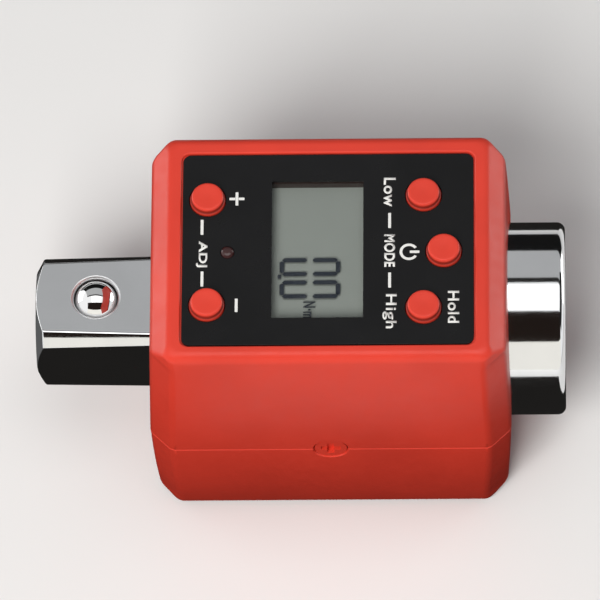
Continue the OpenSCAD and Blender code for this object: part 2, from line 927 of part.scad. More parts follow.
// Carrier that stands on the board and holds the glass
module lcd_frame() {
    color(nylon)
        at_display()
            difference() {
                translate([0, 0, board_z])
                    block(
                        lcd_l + 2 * (fit_gap + frame_wall_t), lcd_d + 2 * (fit_gap + frame_wall_t),
                        ceiling_z - key_gap - board_z
                    );
                translate([0, 0, lcd_z])
                    block(lcd_l + 2 * fit_gap, lcd_d + 2 * fit_gap, lcd_t);
                translate([0, 0, board_z - overrun])
                    block(
                        lcd_l + 2 * fit_gap, lcd_d - 2 * frame_bar_w, lcd_z - board_z + 2 * overrun
                    );
            }
}

module lcd_connectors() {
    color(part_black)
        at_display()
            for (sx = [-1, 1])
                translate([sx * (lcd_l - connector_w) / 2, 0, board_z])
                    block(connector_w, lcd_d - 2 * frame_bar_w - 2 * key_gap, lcd_z - board_z);
}

module circuit_board() {
    color(board_green)
        difference() {
            translate([mid_x - board_left, -board_d / 2, board_under_z])
                cube([board_left + board_right, board_d, board_t]);
            board_screw_places()
                translate([0, 0, board_under_z - overrun])
                    cylinder(h = board_t + 2 * overrun, r = board_screw_r + key_gap, $fn = fine_fn);
        }
}

chip_l = 6;
chip_t = 1;
module main_chip() {
    color(part_black)
        at_display()
            translate([0, 0, board_z])
                block(chip_l, chip_l, chip_t);
}

// Pieces on the underside of the board, above the gauge waist
amplifier_l = 5;
amplifier_w = 4;
amplifier_t = 1.5;
under_y = 5;
module amplifier_chip() {
    color(part_black)
        translate([waist_mid_x, under_y, board_under_z - amplifier_t])
            block(amplifier_l, amplifier_w, amplifier_t);
}

buzzer_r = 4;
buzzer_t = 2.4;
buzzer_hole_r = 0.7;
module buzzer() {
    color(part_black)
        translate([waist_mid_x, -under_y, board_under_z - buzzer_t])
            difference() {
                cylinder(h = buzzer_t, r = buzzer_r);
                translate([0, 0, -overrun])
                    cylinder(h = 2 * overrun, r = buzzer_hole_r, $fn = fine_fn);
            }
}

// Key with a flange below the ceiling and a stem down to its plunger
flange_t = 0.6;
flange_reach = 0.5;
stem_r = 1.2;
case_w = 4;
case_h = 1.5;
plunger_r = 1;
plunger_h = 0.65;
plunger_l = 1.5;
key_edge_steps = 4;
flange_z = ceiling_z - key_gap - flange_t;
plunger_top_z = board_z + case_h + plunger_h;
module key(k) {
    top = overlay_z + key_h;
    flange_r = key_foot_r + flange_reach;
    color(key_red)
        at_key(k)
            rotate_extrude()
                polygon(concat(
                    [
                        [0, plunger_top_z], [stem_r, plunger_top_z], [stem_r, flange_z],
                        [flange_r, flange_z], [flange_r, flange_z + flange_t],
                        [key_foot_r, flange_z + flange_t], [key_foot_r, overlay_z]
                    ],
                    [for (i = [0 : key_edge_steps])
                        let (a = quarter_turn * i / key_edge_steps)
                        [key_r - key_edge_r + key_edge_r * cos(a), top - key_edge_r + key_edge_r * sin(a)]],
                    [[0, top]]
                ));
}

module plunger(k) {
    color(nylon)
        at_key(k)
            translate([0, 0, plunger_top_z - plunger_l])
                cylinder(h = plunger_l, r = plunger_r, $fn = fine_fn);
}

module plus_button() { key(plus); }
module minus_button() { key(minus); }
module low_button() { key(low); }
module power_button() { key(power); }
module high_button() { key(high); }
module plus_plunger() { plunger(plus); }
module minus_plunger() { plunger(minus); }
module low_plunger() { plunger(low); }
module power_plunger() { plunger(power); }
module high_plunger() { plunger(high); }

case_floor_t = 0.1;
module switch_cases() {
    color(part_black)
        for (k = [plus : high])
            at_key(k)
                difference() {
                    translate([0, 0, board_z])
                        block(case_w, case_w, case_h);
                    translate([0, 0, board_z + case_floor_t])
                        cylinder(h = case_h, r = plunger_r + fit_gap, $fn = fine_fn);
                }
}

// Light pipe with a domed top that stands a little proud of the panel
pipe_flange_r = 1.3;
pipe_flange_t = 0.5;
dome_h = 0.35;
led_w = 1;
led_l = 1.6;
led_t = 0.7;
dome_steps = 4;
module light_pipe() {
    foot = board_z + led_t + key_gap;
    flange = ceiling_z - fit_gap - pipe_flange_t;
    color([0.45, 0.2, 0.18])
        at_light()
            rotate_extrude($fn = fine_fn)
                polygon(concat(
                    [
                        [0, foot], [light_r, foot], [light_r, flange], [pipe_flange_r, flange],
                        [pipe_flange_r, flange + pipe_flange_t], [light_r, flange + pipe_flange_t]
                    ],
                    [for (i = [0 : dome_steps - 1])
                        let (a = quarter_turn * i / dome_steps)
                        [light_r * cos(a), overlay_z + dome_h * sin(a)]],
                    [[0, overlay_z + dome_h]]
                ));
}

module indicator_led() {
    color(nylon)
        at_light()
            translate([0, 0, board_z])
                block(led_l, led_w, led_t);
}

cell_step_r = 1;
cell_step_t = 0.4;
module battery_cell() {
    color(steel)
        at_tray()
            translate([0, 0, cell_z]) {
                cylinder(h = cell_t - cell_step_t, r = cell_r);
                cylinder(h = cell_t, r = cell_r - cell_step_r);
            }
}

// Sprung disc riveted under the roof of the tray, dished down to the cell
disc_r = 4.5;
disc_t = 0.2;
module negative_contact() {
    dish = roof_z - disc_t - (cell_z + cell_t) - fit_gap;
    color(brass)
        at_tray() {
            difference() {
                translate([0, 0, roof_z - disc_t - dish])
                    cylinder(h = dish + disc_t, r1 = disc_r / 2, r2 = disc_r);
                translate([0, 0, roof_z - disc_t - dish - overrun])
                    cylinder(h = dish + overrun, r = disc_r / 2 - disc_t);
            }
            cylinder_from(roof_z - disc_t, roof_z + roof_t + loose_gap, rivet_r);
        }
}

module cylinder_from(z0, z1, r) {
    translate([0, 0, z0])
        cylinder(h = z1 - z0, r = r, $fn = fine_fn);
}

// Strip that stands against the side of the cell and comes up through the roof
tab_h = 0.9;
module positive_contact() {
    foot = cell_z + cell_step_t;
    color(brass)
        at_tray()
            translate([0, cell_r + fit_gap + contact_t / 2, foot])
                block(contact_w, contact_t, roof_z + roof_t + tab_h - foot);
}

// Leads from the two contacts up to the board, behind the hub
tab_space = 1.6;
lead_pitch = 2;
battery_lead_y = cell_r + tab_space + loose_gap + contact_t;
negative_lead_x = tray_x - 2 * lead_pitch;
positive_lead_x = tray_x - 3 * lead_pitch;
battery_lead_z = roof_z + roof_t + loose_gap + lead_r;
module battery_leads() {
    tab_y = cell_r + fit_gap + contact_t + lead_r;
    color(lead_red) {
        wire([
            [tray_x, 0, battery_lead_z], [negative_lead_x, 0, battery_lead_z],
            [negative_lead_x, battery_lead_y, battery_lead_z],
            [negative_lead_x, battery_lead_y, board_under_z]
        ], lead_r);
        wire([
            [tray_x, tab_y, battery_lead_z], [tray_x, battery_lead_y, battery_lead_z],
            [positive_lead_x, battery_lead_y, battery_lead_z],
            [positive_lead_x, battery_lead_y, board_under_z]
        ], lead_r);
    }
}

coin_slot_l = 13;
coin_slot_w = 1.8;
coin_slot_d = 0.9;
module battery_cover() {
    lug_z = lock_lip_t + key_gap;
    color(housing_red)
        at_tray()
            difference() {
                union() {
                    translate([0, 0, cover_sink])
                        cylinder(h = cover_top_z - cover_sink, r = cover_r);
                    translate([0, 0, lug_z])
                        lug_bars(cover_r + lug_reach, lug_w, cover_top_z - lug_z);
                }
                translate([0, 0, cover_sink - overrun])
                    block(coin_slot_l, coin_slot_w, coin_slot_d + overrun);
            }
}

module shell_screws() {
    color(steel)
        shell_screw_places()
            translate([0, 0, shell_screw_z])
                screw(shell_screw_r, shell_screw_l, shell_head_r, shell_head_t);
}

module anchor_screws() {
    shank_l = anchor_seat_y - hub_r + anchor_thread_l;
    color(housing_red)
        for (sy = [-1, 1])
            translate([mid_x, sy * anchor_seat_y, axis_h])
                rotate([sy * quarter_turn, 0, 0])
                    screw(anchor_screw_r, shank_l, anchor_head_r, anchor_head_t);
}

module board_screws() {
    color(steel)
        board_screw_places()
            translate([0, 0, board_under_z])
                screw(board_screw_r, board_t + board_thread_l, board_head_r, board_head_t);
}

torque_shaft();
detent_ball();
detent_spring();
drive_end_bush();
drive_end_seal();
socket_end_seal();
strain_gauges();
gauge_leads();
upper_shell();
lower_shell();
display_overlay();
display_window();
lcd_panel();
lcd_frame();
lcd_connectors();
circuit_board();
main_chip();
amplifier_chip();
buzzer();
plus_button();
minus_button();
low_button();
power_button();
high_button();
plus_plunger();
minus_plunger();
low_plunger();
power_plunger();
high_plunger();
switch_cases();
light_pipe();
indicator_led();
battery_cell();
negative_contact();
positive_contact();
battery_leads();
battery_cover();
shell_screws();
anchor_screws();
board_screws();
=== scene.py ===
"""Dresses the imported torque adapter: moulded housing, printed panel, display, keys and chromed shaft."""

import math

import bmesh
import bpy
from mathutils import Matrix, Vector


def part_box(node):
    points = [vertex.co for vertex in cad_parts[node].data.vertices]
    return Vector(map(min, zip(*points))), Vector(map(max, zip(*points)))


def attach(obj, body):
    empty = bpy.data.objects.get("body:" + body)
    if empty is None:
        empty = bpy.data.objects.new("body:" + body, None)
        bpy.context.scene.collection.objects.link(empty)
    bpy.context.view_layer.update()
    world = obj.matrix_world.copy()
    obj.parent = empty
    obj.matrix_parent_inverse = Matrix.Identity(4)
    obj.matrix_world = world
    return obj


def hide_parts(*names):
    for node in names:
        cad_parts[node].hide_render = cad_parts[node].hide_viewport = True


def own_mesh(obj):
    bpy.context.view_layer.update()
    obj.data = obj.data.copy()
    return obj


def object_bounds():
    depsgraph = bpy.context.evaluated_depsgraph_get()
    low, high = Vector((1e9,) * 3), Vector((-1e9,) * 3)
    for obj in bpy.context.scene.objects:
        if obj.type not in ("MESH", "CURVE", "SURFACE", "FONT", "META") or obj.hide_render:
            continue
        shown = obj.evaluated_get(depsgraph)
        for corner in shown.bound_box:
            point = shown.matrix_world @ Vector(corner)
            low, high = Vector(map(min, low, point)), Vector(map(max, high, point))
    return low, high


bl_info = {
    "name": "Digital torque adapter",
    "version": (1, 0, 0),
    "blender": (4, 5, 0),
    "location": "View3D > Sidebar > Torque adapter",
    "description": "Housing, panel, display, keys and shaft of a square-drive torque adapter",
    "category": "Object",
}

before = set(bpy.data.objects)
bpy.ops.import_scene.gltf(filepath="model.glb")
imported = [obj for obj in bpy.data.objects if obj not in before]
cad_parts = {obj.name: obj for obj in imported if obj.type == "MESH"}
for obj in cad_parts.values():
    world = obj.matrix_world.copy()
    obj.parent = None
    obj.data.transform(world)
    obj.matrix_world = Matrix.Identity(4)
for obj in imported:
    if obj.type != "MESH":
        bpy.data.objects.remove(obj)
CAD_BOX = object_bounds()
MM = 0.001


def corners(node):
    """Lowest and highest corner of a node of the model, in millimetres."""
    low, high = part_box(node)
    return low / MM, high / MM


def middle(node):
    low, high = corners(node)
    return (low + high) / 2


UPPER_LOW, UPPER_HIGH = corners("upper_shell")
SEAM_Z, TOP_Z = UPPER_LOW.z, UPPER_HIGH.z
CROWN_H = TOP_Z - SEAM_Z
FOOT_H = SEAM_Z - corners("lower_shell")[0].z
LEFT_X, RIGHT_X = UPPER_LOW.x, UPPER_HIGH.x
MID_X = (LEFT_X + RIGHT_X) / 2
HALF_L = (RIGHT_X - LEFT_X) / 2
HALF_D = UPPER_HIGH.y
NOSE_X, MOUTH_X = corners("torque_shaft")[0].x, corners("torque_shaft")[1].x
PANEL_LOW, PANEL_HIGH = corners("display_overlay")
PANEL_L, PANEL_D = PANEL_HIGH.x - PANEL_LOW.x, PANEL_HIGH.y - PANEL_LOW.y
PANEL_MID = middle("display_overlay")
LENS_LOW, LENS_HIGH = corners("display_window")
LENS_L, LENS_D = LENS_HIGH.x - LENS_LOW.x, LENS_HIGH.y - LENS_LOW.y
LENS_MID = middle("display_window")
BALL_MID = middle("detent_ball")
KEYS = ("plus", "minus", "low", "power", "high")
HOUSING = "housing"
UP, DOWN, ALONG, BACK_ALONG = (0, 0, 1), (0, 0, -1), (1, 0, 0), (-1, 0, 0)
THROUGH = 1


# Sizes and colours that a user would change


def length(name, description, millimetres):
    return bpy.props.FloatProperty(
        name=name, description=description, default=millimetres * MM, unit="LENGTH")


def angle(name, description, degrees):
    return bpy.props.FloatProperty(
        name=name, description=description, default=math.radians(degrees), subtype="ANGLE")


def lamp_power(name, description, watts):
    return bpy.props.FloatProperty(
        name=name, description=description, default=watts, unit="POWER")


def fraction(name, description, default):
    return bpy.props.FloatProperty(
        name=name, description=description, default=default, subtype="FACTOR", min=0, max=1)


def tone(name, description, default):
    return bpy.props.FloatVectorProperty(
        name=name, description=description, default=default, subtype="COLOR", min=0, max=1)


class HousingSettings(bpy.types.PropertyGroup):
    bow_radius: length("Bow radius", "Radius of the bow in the front and back walls", 68)
    edge_radius: length("Edge radius", "Rounding of the long edges at the top and the foot", 1.5)
    crease_radius: length("Crease radius", "Rounding of the two creases of each sloped band", 1.3)
    upright_radius: length("Upright radius", "Rounding of the upright corner edges", 1.5)
    slope_width: length("Slope width", "Width of the sloped band at each end, from above", 2.3)
    slope_drop: length("Slope drop", "Drop of the sloped band", 1.9)
    end_taper: length("End taper", "Taper of each end wall between the seam and the band", 0.5)
    corner_cut: length("Corner cut", "Cut of the upright corners along each side", 2.7)
    corner_end_cut: length("Corner end cut", "Cut of those corners left at the flat top", 0.1)
    wall: length("Wall", "Thickness of the walls", 1.8)
    ceiling: length("Ceiling", "Thickness of the top wall and the floor", 2)
    seam_break: length("Seam break", "Broken edge of each shell at the seam", 0.14)
    recess: length("Panel recess", "Depth of the recess that takes the panel", 0.45)
    colour: tone("Housing colour", "Base colour of the housing", (0.65, 0.044, 0.024))


class ShaftSettings(bpy.types.PropertyGroup):
    square: length("Square", "Size of the male square across its flats", 12.7)
    corner_radius: length("Corner radius", "Radius of the turned corners at the housing", 8.25)
    nose_radius: length("Nose radius", "Radius of the turned corners behind the nose", 7.95)
    nose_flat: length("Nose flat", "Radius of the flat end of the nose", 6.2)
    nose_bevel: length("Nose bevel", "Length of the bevel of the nose", 0.95)
    softness: length("Edge softness", "How far the square's long edges are polished off", 0.045)
    socket: length("Socket", "Size of the square socket across its flats", 12.85)
    lip: length("Lip", "Rounding of the collar's lip", 1)
    colour: tone("Chrome colour", "Colour of the chrome plating", (0.8, 0.81, 0.82))


class PanelSettings(bpy.types.PropertyGroup):
    corner: length("Corner", "Corner radius of the panel", 1)
    gap: length("Gap", "Gap between the panel and the rim of its recess", 0.11)
    edge: length("Edge", "Rounding of the panel's top edge", 0.08)
    key_hole: length("Key hole", "Radius of the holes for the keys", 2.27)
    ink: length("Ink", "Thickness of the printed signs", 0.012)
    film_colour: tone("Film colour", "Colour of the panel film", (0.006, 0.006, 0.0065))
    ink_colour: tone("Ink colour", "Colour of the printed signs", (0.78, 0.78, 0.76))


class DisplaySettings(bpy.types.PropertyGroup):
    depth: length("Depth", "Depth of the reflector below the front of the display glass", 0.95)
    bar: length("Bar", "Width of one bar of a digit", 0.56)
    digit_height: length("Digit height", "Height of a digit", 7.5)
    digit_width: length("Digit width", "Width of a digit", 2.5)
    digit_pitch: length("Digit pitch", "Distance between two digits", 3.14)
    back_colour: tone("Reflector colour", "Colour behind the digits", (0.305, 0.337, 0.312))
    bar_colour: tone("Digit colour", "Colour of the digits", (0.009, 0.014, 0.024))


class KeySettings(bpy.types.PropertyGroup):
    top_radius: length("Top radius", "Radius of a key's top", 2)
    foot_radius: length("Foot radius", "Radius of a key at the panel", 2.17)
    edge: length("Edge", "Rounding of a key's top edge", 0.32)
    dish: length("Dish", "Depth of the dish in a key's top", 0.07)
    colour: tone("Key colour", "Base colour of the keys", (0.68, 0.047, 0.026))


class StageSettings(bpy.types.PropertyGroup):
    azimuth: angle("Azimuth", "Direction of the camera round the object, from the front", 3.016)
    elevation: angle("Elevation", "Height of the camera above the horizon", 61.35)
    roll: angle("Roll", "Turn of the camera about its own axis", -3.07)
    distance: length("Distance", "Distance of the camera from the object", 1271.5)
    frame_width: length("Frame width", "Width of the picture at the object", 75.07)
    floor_colour: tone("Floor colour", "Colour of the floor", (0.8, 0.8, 0.8))
    top_power: lamp_power("Top power", "Power of the soft light overhead", 0.7)
    key_power: lamp_power("Key power", "Power of the soft light at the front left", 7.7)
    side_power: lamp_power("Side power", "Power of the soft light at each end", 0.9)
    fill: fraction("Fill", "Strength of the light from all round", 0.16)


def in_mm(settings, *names):
    """Named lengths of a group of settings, in millimetres."""
    return [getattr(settings, name) / MM for name in names]


# Meshes


DOUBLES_GAP, FINE_GAP = 0.0005, 0.0002


def shown(name, data):
    """New object in the scene."""
    made = bpy.data.objects.new(name, data)
    bpy.context.scene.collection.objects.link(made)
    return made


def mesh_of(name, points, faces=()):
    """New mesh from points in millimetres."""
    mesh = bpy.data.meshes.new(name)
    mesh.from_pydata([Vector(p) * MM for p in points], [], faces)
    return mesh


def tidy(piece, gap=DOUBLES_GAP):
    """Merges doubles and turns the faces outwards."""
    work = bmesh.new()
    work.from_mesh(piece.data)
    bmesh.ops.remove_doubles(work, verts=work.verts, dist=gap * MM)
    bmesh.ops.recalc_face_normals(work, faces=work.faces)
    work.to_mesh(piece.data)
    work.free()


def mesh_object(name, points, faces):
    """New object from points in millimetres, its faces turned outwards."""
    piece = shown(name, mesh_of(name, points, faces))
    tidy(piece)
    return piece


def evaluated(piece):
    """New mesh of what an object and its modifiers give."""
    graph = bpy.context.evaluated_depsgraph_get()
    return bpy.data.meshes.new_from_object(piece.evaluated_get(graph), depsgraph=graph)


def settle(piece):
    """Makes what the modifiers give the piece's own mesh."""
    mesh = evaluated(piece)
    piece.modifiers.clear()
    piece.data = mesh
    mesh.name = piece.name


def combine(piece, how, others):
    """Cuts the other solids from the piece, or adds them to it."""
    for other in others:
        step = piece.modifiers.new(how, "BOOLEAN")
        step.operation = how
        step.solver = "EXACT"
        step.object = other
    settle(piece)
    for other in others:
        bpy.data.objects.remove(other)
    tidy(piece)


def polish(piece, degrees):
    """Smooth shading between faces that meet at less than the angle."""
    piece.data.shade_smooth()
    piece.data.set_sharp_from_angle(angle=math.radians(degrees))
    step = piece.modifiers.new("even", "WEIGHTED_NORMAL")
    step.keep_sharp = True
    settle(piece)


def dress(piece, look, body=HOUSING, nodes=(), smooth=32):
    """Gives a finished piece its shading, material, body and the nodes that it stands for."""
    if smooth:
        polish(piece, smooth)
    piece.data.materials.clear()
    piece.data.materials.append(material_for(look))
    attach(piece, body)
    if nodes:
        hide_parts(*nodes)


def loft(name, rings):
    """Closed solid through rings of as many points each."""
    count = len(rings[0])
    points = [p for ring in rings for p in ring]
    faces = [tuple(range(count)), tuple(range(len(points) - count, len(points)))]
    for i in range(len(rings) - 1):
        for j in range(count):
            k = (j + 1) % count
            faces.append((i * count + j, i * count + k, (i + 1) * count + k, (i + 1) * count + j))
    return mesh_object(name, points, faces)


def lathe(name, profile, centre, direction, steps=96):
    """Closed solid turned about a line, from a profile of (radius, distance along the line)."""
    along = Vector(direction).normalized()
    side = along.orthogonal().normalized()
    up = along.cross(side)
    turns = [math.tau * j / steps for j in range(steps)]
    rings = [[Vector(centre) + along * distance + (side * math.cos(a) + up * math.sin(a)) * radius
              for a in turns] for radius, distance in profile]
    return loft(name, rings)


def bore(node, profile, z, direction, steps):
    """Cutter turned about the upright axis of a node."""
    at = middle(node)
    return lathe("bore", profile, (at.x, at.y, z), direction, steps)


def quarter(x, y, radius):
    """Points of a quarter turn about a point, from sideways to upwards."""
    turns = [math.pi / 2 * j / 8 for j in range(9)]
    return [(x + radius * math.cos(a), y + radius * math.sin(a)) for a in turns]


def arc(before, here, after, radius, steps):
    """Points of the arc that rounds the corner between two neighbours."""
    here = Vector(here)
    back = (Vector(before) - here).normalized()
    onward = (Vector(after) - here).normalized()
    half = back.angle(onward) / 2
    centre = here + (back + onward).normalized() * (radius / math.sin(half))
    start = here + back * (radius / math.tan(half)) - centre
    sign = 1 if back.x * onward.y - back.y * onward.x < 0 else -1
    made = []
    for j in range(steps + 1):
        a = sign * (math.pi - 2 * half) * j / steps
        made.append(centre + Vector((start.x * math.cos(a) - start.y * math.sin(a),
                                     start.x * math.sin(a) + start.y * math.cos(a))))
    return made


def rounded(points, radius, steps):
    """Closed outline with an arc in place of each corner, always as many points."""
    made = []
    for i, point in enumerate(points):
        made += arc(points[i - 1], point, points[(i + 1) % len(points)], radius, steps)
    return made


def filleted(points, radii, steps):
    """Open line with an arc at each inner corner."""
    made = [Vector(points[0])]
    for i, radius in enumerate(radii, 1):
        made += arc(points[i - 1], points[i], points[i + 1], radius, steps)
    return [*made, Vector(points[-1])]


def plate_ring(centre, long, deep, radius, z, steps=8):
    """Ring of a rounded rectangle at height z."""
    half_l, half_d = long / 2, deep / 2
    outline = [(half_l, -half_d), (half_l, half_d), (-half_l, half_d), (-half_l, -half_d)]
    return [(centre[0] + p.x, centre[1] + p.y, z) for p in rounded(outline, radius, steps)]


def plate(name, centre, long, deep, radius, z0, z1, edge=0):
    """Plate with rounded corners and, if asked, a rounded top edge."""
    rings = [plate_ring(centre, long, deep, radius, z0)]
    for j in range(5 if edge else 1):
        a = math.pi / 2 * j / 4
        inset = edge * (1 - math.cos(a))
        rings.append(plate_ring(centre, long - 2 * inset, deep - 2 * inset,
                                max(radius - inset, radius / 4), z1 - edge + edge * math.sin(a)))
    return loft(name, rings)


# Node trees


COLOUR_A, COLOUR_B, COLOUR_OUT = 6, 7, 2
ALL = None


def add(tree, kind, inputs=None, output=0, **settings):
    """Output of a new node, its inputs given by name or number as values or as sockets."""
    node = tree.nodes.new(kind)
    for name, value in settings.items():
        setattr(node, name, value)
    for name, value in (inputs or {}).items():
        if isinstance(value, bpy.types.NodeSocket):
            tree.links.new(value, node.inputs[name])
        else:
            node.inputs[name].default_value = value
    return node.outputs if output is ALL else node.outputs[output]


def maths(tree, operation, *values):
    """Result of a sum on sockets or numbers."""
    return add(tree, "ShaderNodeMath", dict(enumerate(values)), operation=operation)


def noise(tree, place, scale, detail=3, stretch=None):
    """Noise of so many cells a metre, stretched along an axis if asked."""
    if stretch:
        place = add(tree, "ShaderNodeMapping", {"Scale": stretch, "Vector": place})
    return add(tree, "ShaderNodeTexNoise", {"Scale": scale, "Detail": detail, "Vector": place}, "Fac")


def spread(tree, value, low, high, from_low=0.3, from_high=0.7):
    """Maps a pattern to a range of numbers."""
    return add(tree, "ShaderNodeMapRange", {
        "Value": value, "From Min": from_low, "From Max": from_high, "To Min": low, "To Max": high})


def mixed(tree, share, colour_a, colour_b):
    """Mixes two colours, given with their alpha or as sockets."""
    inputs = {"Factor": share, COLOUR_A: colour_a, COLOUR_B: colour_b}
    return add(tree, "ShaderNodeMix", inputs, COLOUR_OUT, data_type="RGBA")


def shade(colour, factor):
    return tuple(min(1.0, c * factor) for c in colour)


# Materials


# Painted shade on the key's wall: heights over and under the step at its foot, and the share of the colour
# left there
KEY_STEP_RISE, KEY_LIT_RISE, UNDER_STEP, FOOT_TURN = 0.34, 0.95, 0.2, 0.08
KEY_PAINTED_SHADE_DARKEST, KEY_PAINTED_SHADE_AT_FOOT = 0.3, 0.75


def principled(name, colour, roughness, metallic=0.0):
    """New material, its tree, its main shader and its object coordinates."""
    material = bpy.data.materials.new(name)
    material.use_nodes = True
    tree = material.node_tree
    shader = tree.nodes["Principled BSDF"]
    shader.inputs["Base Color"].default_value = (*colour, 1)
    shader.inputs["Roughness"].default_value = roughness
    shader.inputs["Metallic"].default_value = metallic
    return material, tree, shader, add(tree, "ShaderNodeTexCoord", output="Object")


def surface(name, colour, rough, tints, clouds, gloss, metallic=0.0):
    """Material with clouds between two shades of its colour and a gloss that wanders."""
    material, tree, shader, place = principled(name, colour, rough[0], metallic)
    low, high = ((*shade(colour, factor), 1) for factor in tints)
    share = spread(tree, noise(tree, place, *clouds), 0, 1)
    tree.links.new(mixed(tree, share, low, high), shader.inputs["Base Color"])
    tree.links.new(spread(tree, noise(tree, place, *gloss), *rough), shader.inputs["Roughness"])
    return material, tree, shader, place


def relief(tree, shader, value, height):
    """Fine relief from a pattern, so many millimetres high."""
    bump = add(tree, "ShaderNodeBump", {"Distance": height * MM, "Height": value})
    tree.links.new(bump, shader.inputs["Normal"])


def moulded(name, colour, rough=(0.34, 0.44), grain=9000, height=0.0012, vary=0.06):
    """Moulded plastic with a fine grain."""
    tints = (1 - vary, 1 + vary)
    material, tree, shader, place = surface(name, colour, rough, tints, (90,), (700, 4))
    relief(tree, shader, noise(tree, place, grain, 2), height)
    return material


def metal(name, colour, rough=(0.05, 0.1), stretch=(1, 14, 14), height=0.0002):
    """Plated or drawn metal with faint lines along or round the piece."""
    material, tree, shader, place = surface(
        name, colour, rough, (0.97, 1.03), (160, 4), (420, 5, stretch), 1.0)
    relief(tree, shader, noise(tree, place, 900, 2, stretch), height)
    return material


def film(name, colour):
    """Printed film with a fine pebbled face."""
    material, tree, shader, place = surface(
        name, colour, (0.22, 0.28), (0.85, 1.2), (120, 4), (300, 4))
    pebbles = add(tree, "ShaderNodeTexVoronoi", {"Scale": 7000, "Vector": place}, "Distance")
    relief(tree, shader, pebbles, 0.0014)
    shader.inputs["Specular IOR Level"].default_value = 0.25
    return material


def clear(name, colour, alpha):
    """Thin clear sheet that lets light and shadow through."""
    rough = (0.03, 0.06)
    material, tree, shader, place = principled(name, colour, rough[0])
    tree.links.new(spread(tree, noise(tree, place, 220), *rough), shader.inputs["Roughness"])
    shader.inputs["Alpha"].default_value = alpha
    return material


def key_plastic_painted_shade(name, colour):
    """Moulded plastic with painted shade, darker low on the key's wall, over the step at its foot."""
    material = moulded(name, colour, (0.36, 0.44), 12000)
    tree = material.node_tree
    base = tree.nodes["Principled BSDF"].inputs["Base Color"]
    place = add(tree, "ShaderNodeTexCoord", output="Object")
    height = add(tree, "ShaderNodeSeparateXYZ", {0: place}, "Z")
    step, lit = PANEL_HIGH.z + KEY_STEP_RISE, PANEL_HIGH.z + KEY_LIT_RISE
    # painted shade: darkest just under the step, three quarters of the colour at the foot, full colour
    # from the lit height up
    over = spread(tree, height, KEY_PAINTED_SHADE_DARKEST, 1, step * MM, lit * MM)
    under = spread(tree, height, KEY_PAINTED_SHADE_AT_FOOT, KEY_PAINTED_SHADE_DARKEST, (step - UNDER_STEP) * MM,
                   (step - FOOT_TURN) * MM)
    shaded = add(tree, "ShaderNodeVectorMath", {
        0: base.links[0].from_socket, "Scale": maths(tree, "MAXIMUM", over, under)}, operation="SCALE")
    tree.links.new(shaded, base)
    return material


MATERIALS = {}


def material_for(name):
    """Makes each named material once."""
    scene = bpy.context.scene
    chrome, back = scene.shaft_settings.colour, scene.screen_settings.back_colour
    looks = {
        "moulded_red": (moulded, scene.housing_settings.colour),
        "key_red": (key_plastic_painted_shade, scene.key_settings.colour),
        "chrome": (metal, chrome),
        "peened": (metal, chrome, (0.32, 0.42), None, 0.002),
        "ball_chrome": (metal, (0.86, 0.86, 0.86), (0.02, 0.05), None, 0.00005),
        "steel": (metal, (0.5, 0.5, 0.51), (0.22, 0.34)),
        "brass": (metal, (0.72, 0.5, 0.2), (0.2, 0.32)),
        "panel_film": (film, scene.panel_settings.film_colour),
        "ink": (moulded, scene.panel_settings.ink_colour, (0.45, 0.55), 20000, 0.0005, 0.03),
        "lens": (clear, (0.03, 0.034, 0.034), 0.06),
        "lcd_glass": (clear, (0.1, 0.12, 0.11), 0.03),
        "lcd_back": (moulded, back, (0.42, 0.5), 15000, 0.0006, 0.03),
        # painted shadow: the reflector's colour darkened, for the shadows of the digits
        "lcd_shadow": (moulded, shade(back, 0.55), (0.42, 0.5), 15000, 0.0006, 0.03),
        "lcd_bar": (moulded, scene.screen_settings.bar_colour, (0.4, 0.5), 15000, 0.0003, 0.1),
        "nylon": (moulded, (0.78, 0.76, 0.68), (0.4, 0.5)),
        "black_plastic": (moulded, (0.02, 0.02, 0.022), (0.38, 0.5)),
        "rubber": (moulded, (0.015, 0.015, 0.015), (0.6, 0.75), 5000, 0.002),
        "board": (moulded, (0.02, 0.12, 0.05), (0.3, 0.42), 3000, 0.001, 0.15),
        "lead": (moulded, (0.45, 0.02, 0.015), (0.35, 0.45)),
        "foil": (moulded, (0.7, 0.3, 0.06), (0.25, 0.4), 2000, 0.001, 0.1),
        "light": (moulded, (0.04, 0.014, 0.014), (0.2, 0.28), 3000, 0.0003, 0.12),
        # painted shade: near-black, reddish mask that stands in for the shaded wall of the display's
        # opening
        "mask": (moulded, (0.03, 0.018, 0.016), (0.4, 0.5)),
    }
    if name not in MATERIALS:
        maker, *values = looks[name]
        MATERIALS[name] = maker(name, *values)
    return MATERIALS[name]


# Geometry node trees


def new_tree(name, **kinds):
    """Geometry node tree with named inputs, and the sockets that give them."""
    tree = bpy.data.node_groups.new(name, "GeometryNodeTree")
    tree.interface.new_socket("Geometry", in_out="OUTPUT", socket_type="NodeSocketGeometry")
    for key, kind in {"Geometry": "Geometry", **kinds}.items():
        tree.interface.new_socket(key, in_out="INPUT", socket_type="NodeSocket" + kind)
    return tree, tree.nodes.new("NodeGroupInput").outputs


def finish_tree(tree, geometry, given):
    """Ends a tree with real geometry that carries its material."""
    real = add(tree, "GeometryNodeRealizeInstances", {0: geometry})
    paint = add(tree, "GeometryNodeSetMaterial", {"Geometry": real, "Material": given["Material"]})
    add(tree, "NodeGroupOutput", {0: paint}, ALL)
    return tree


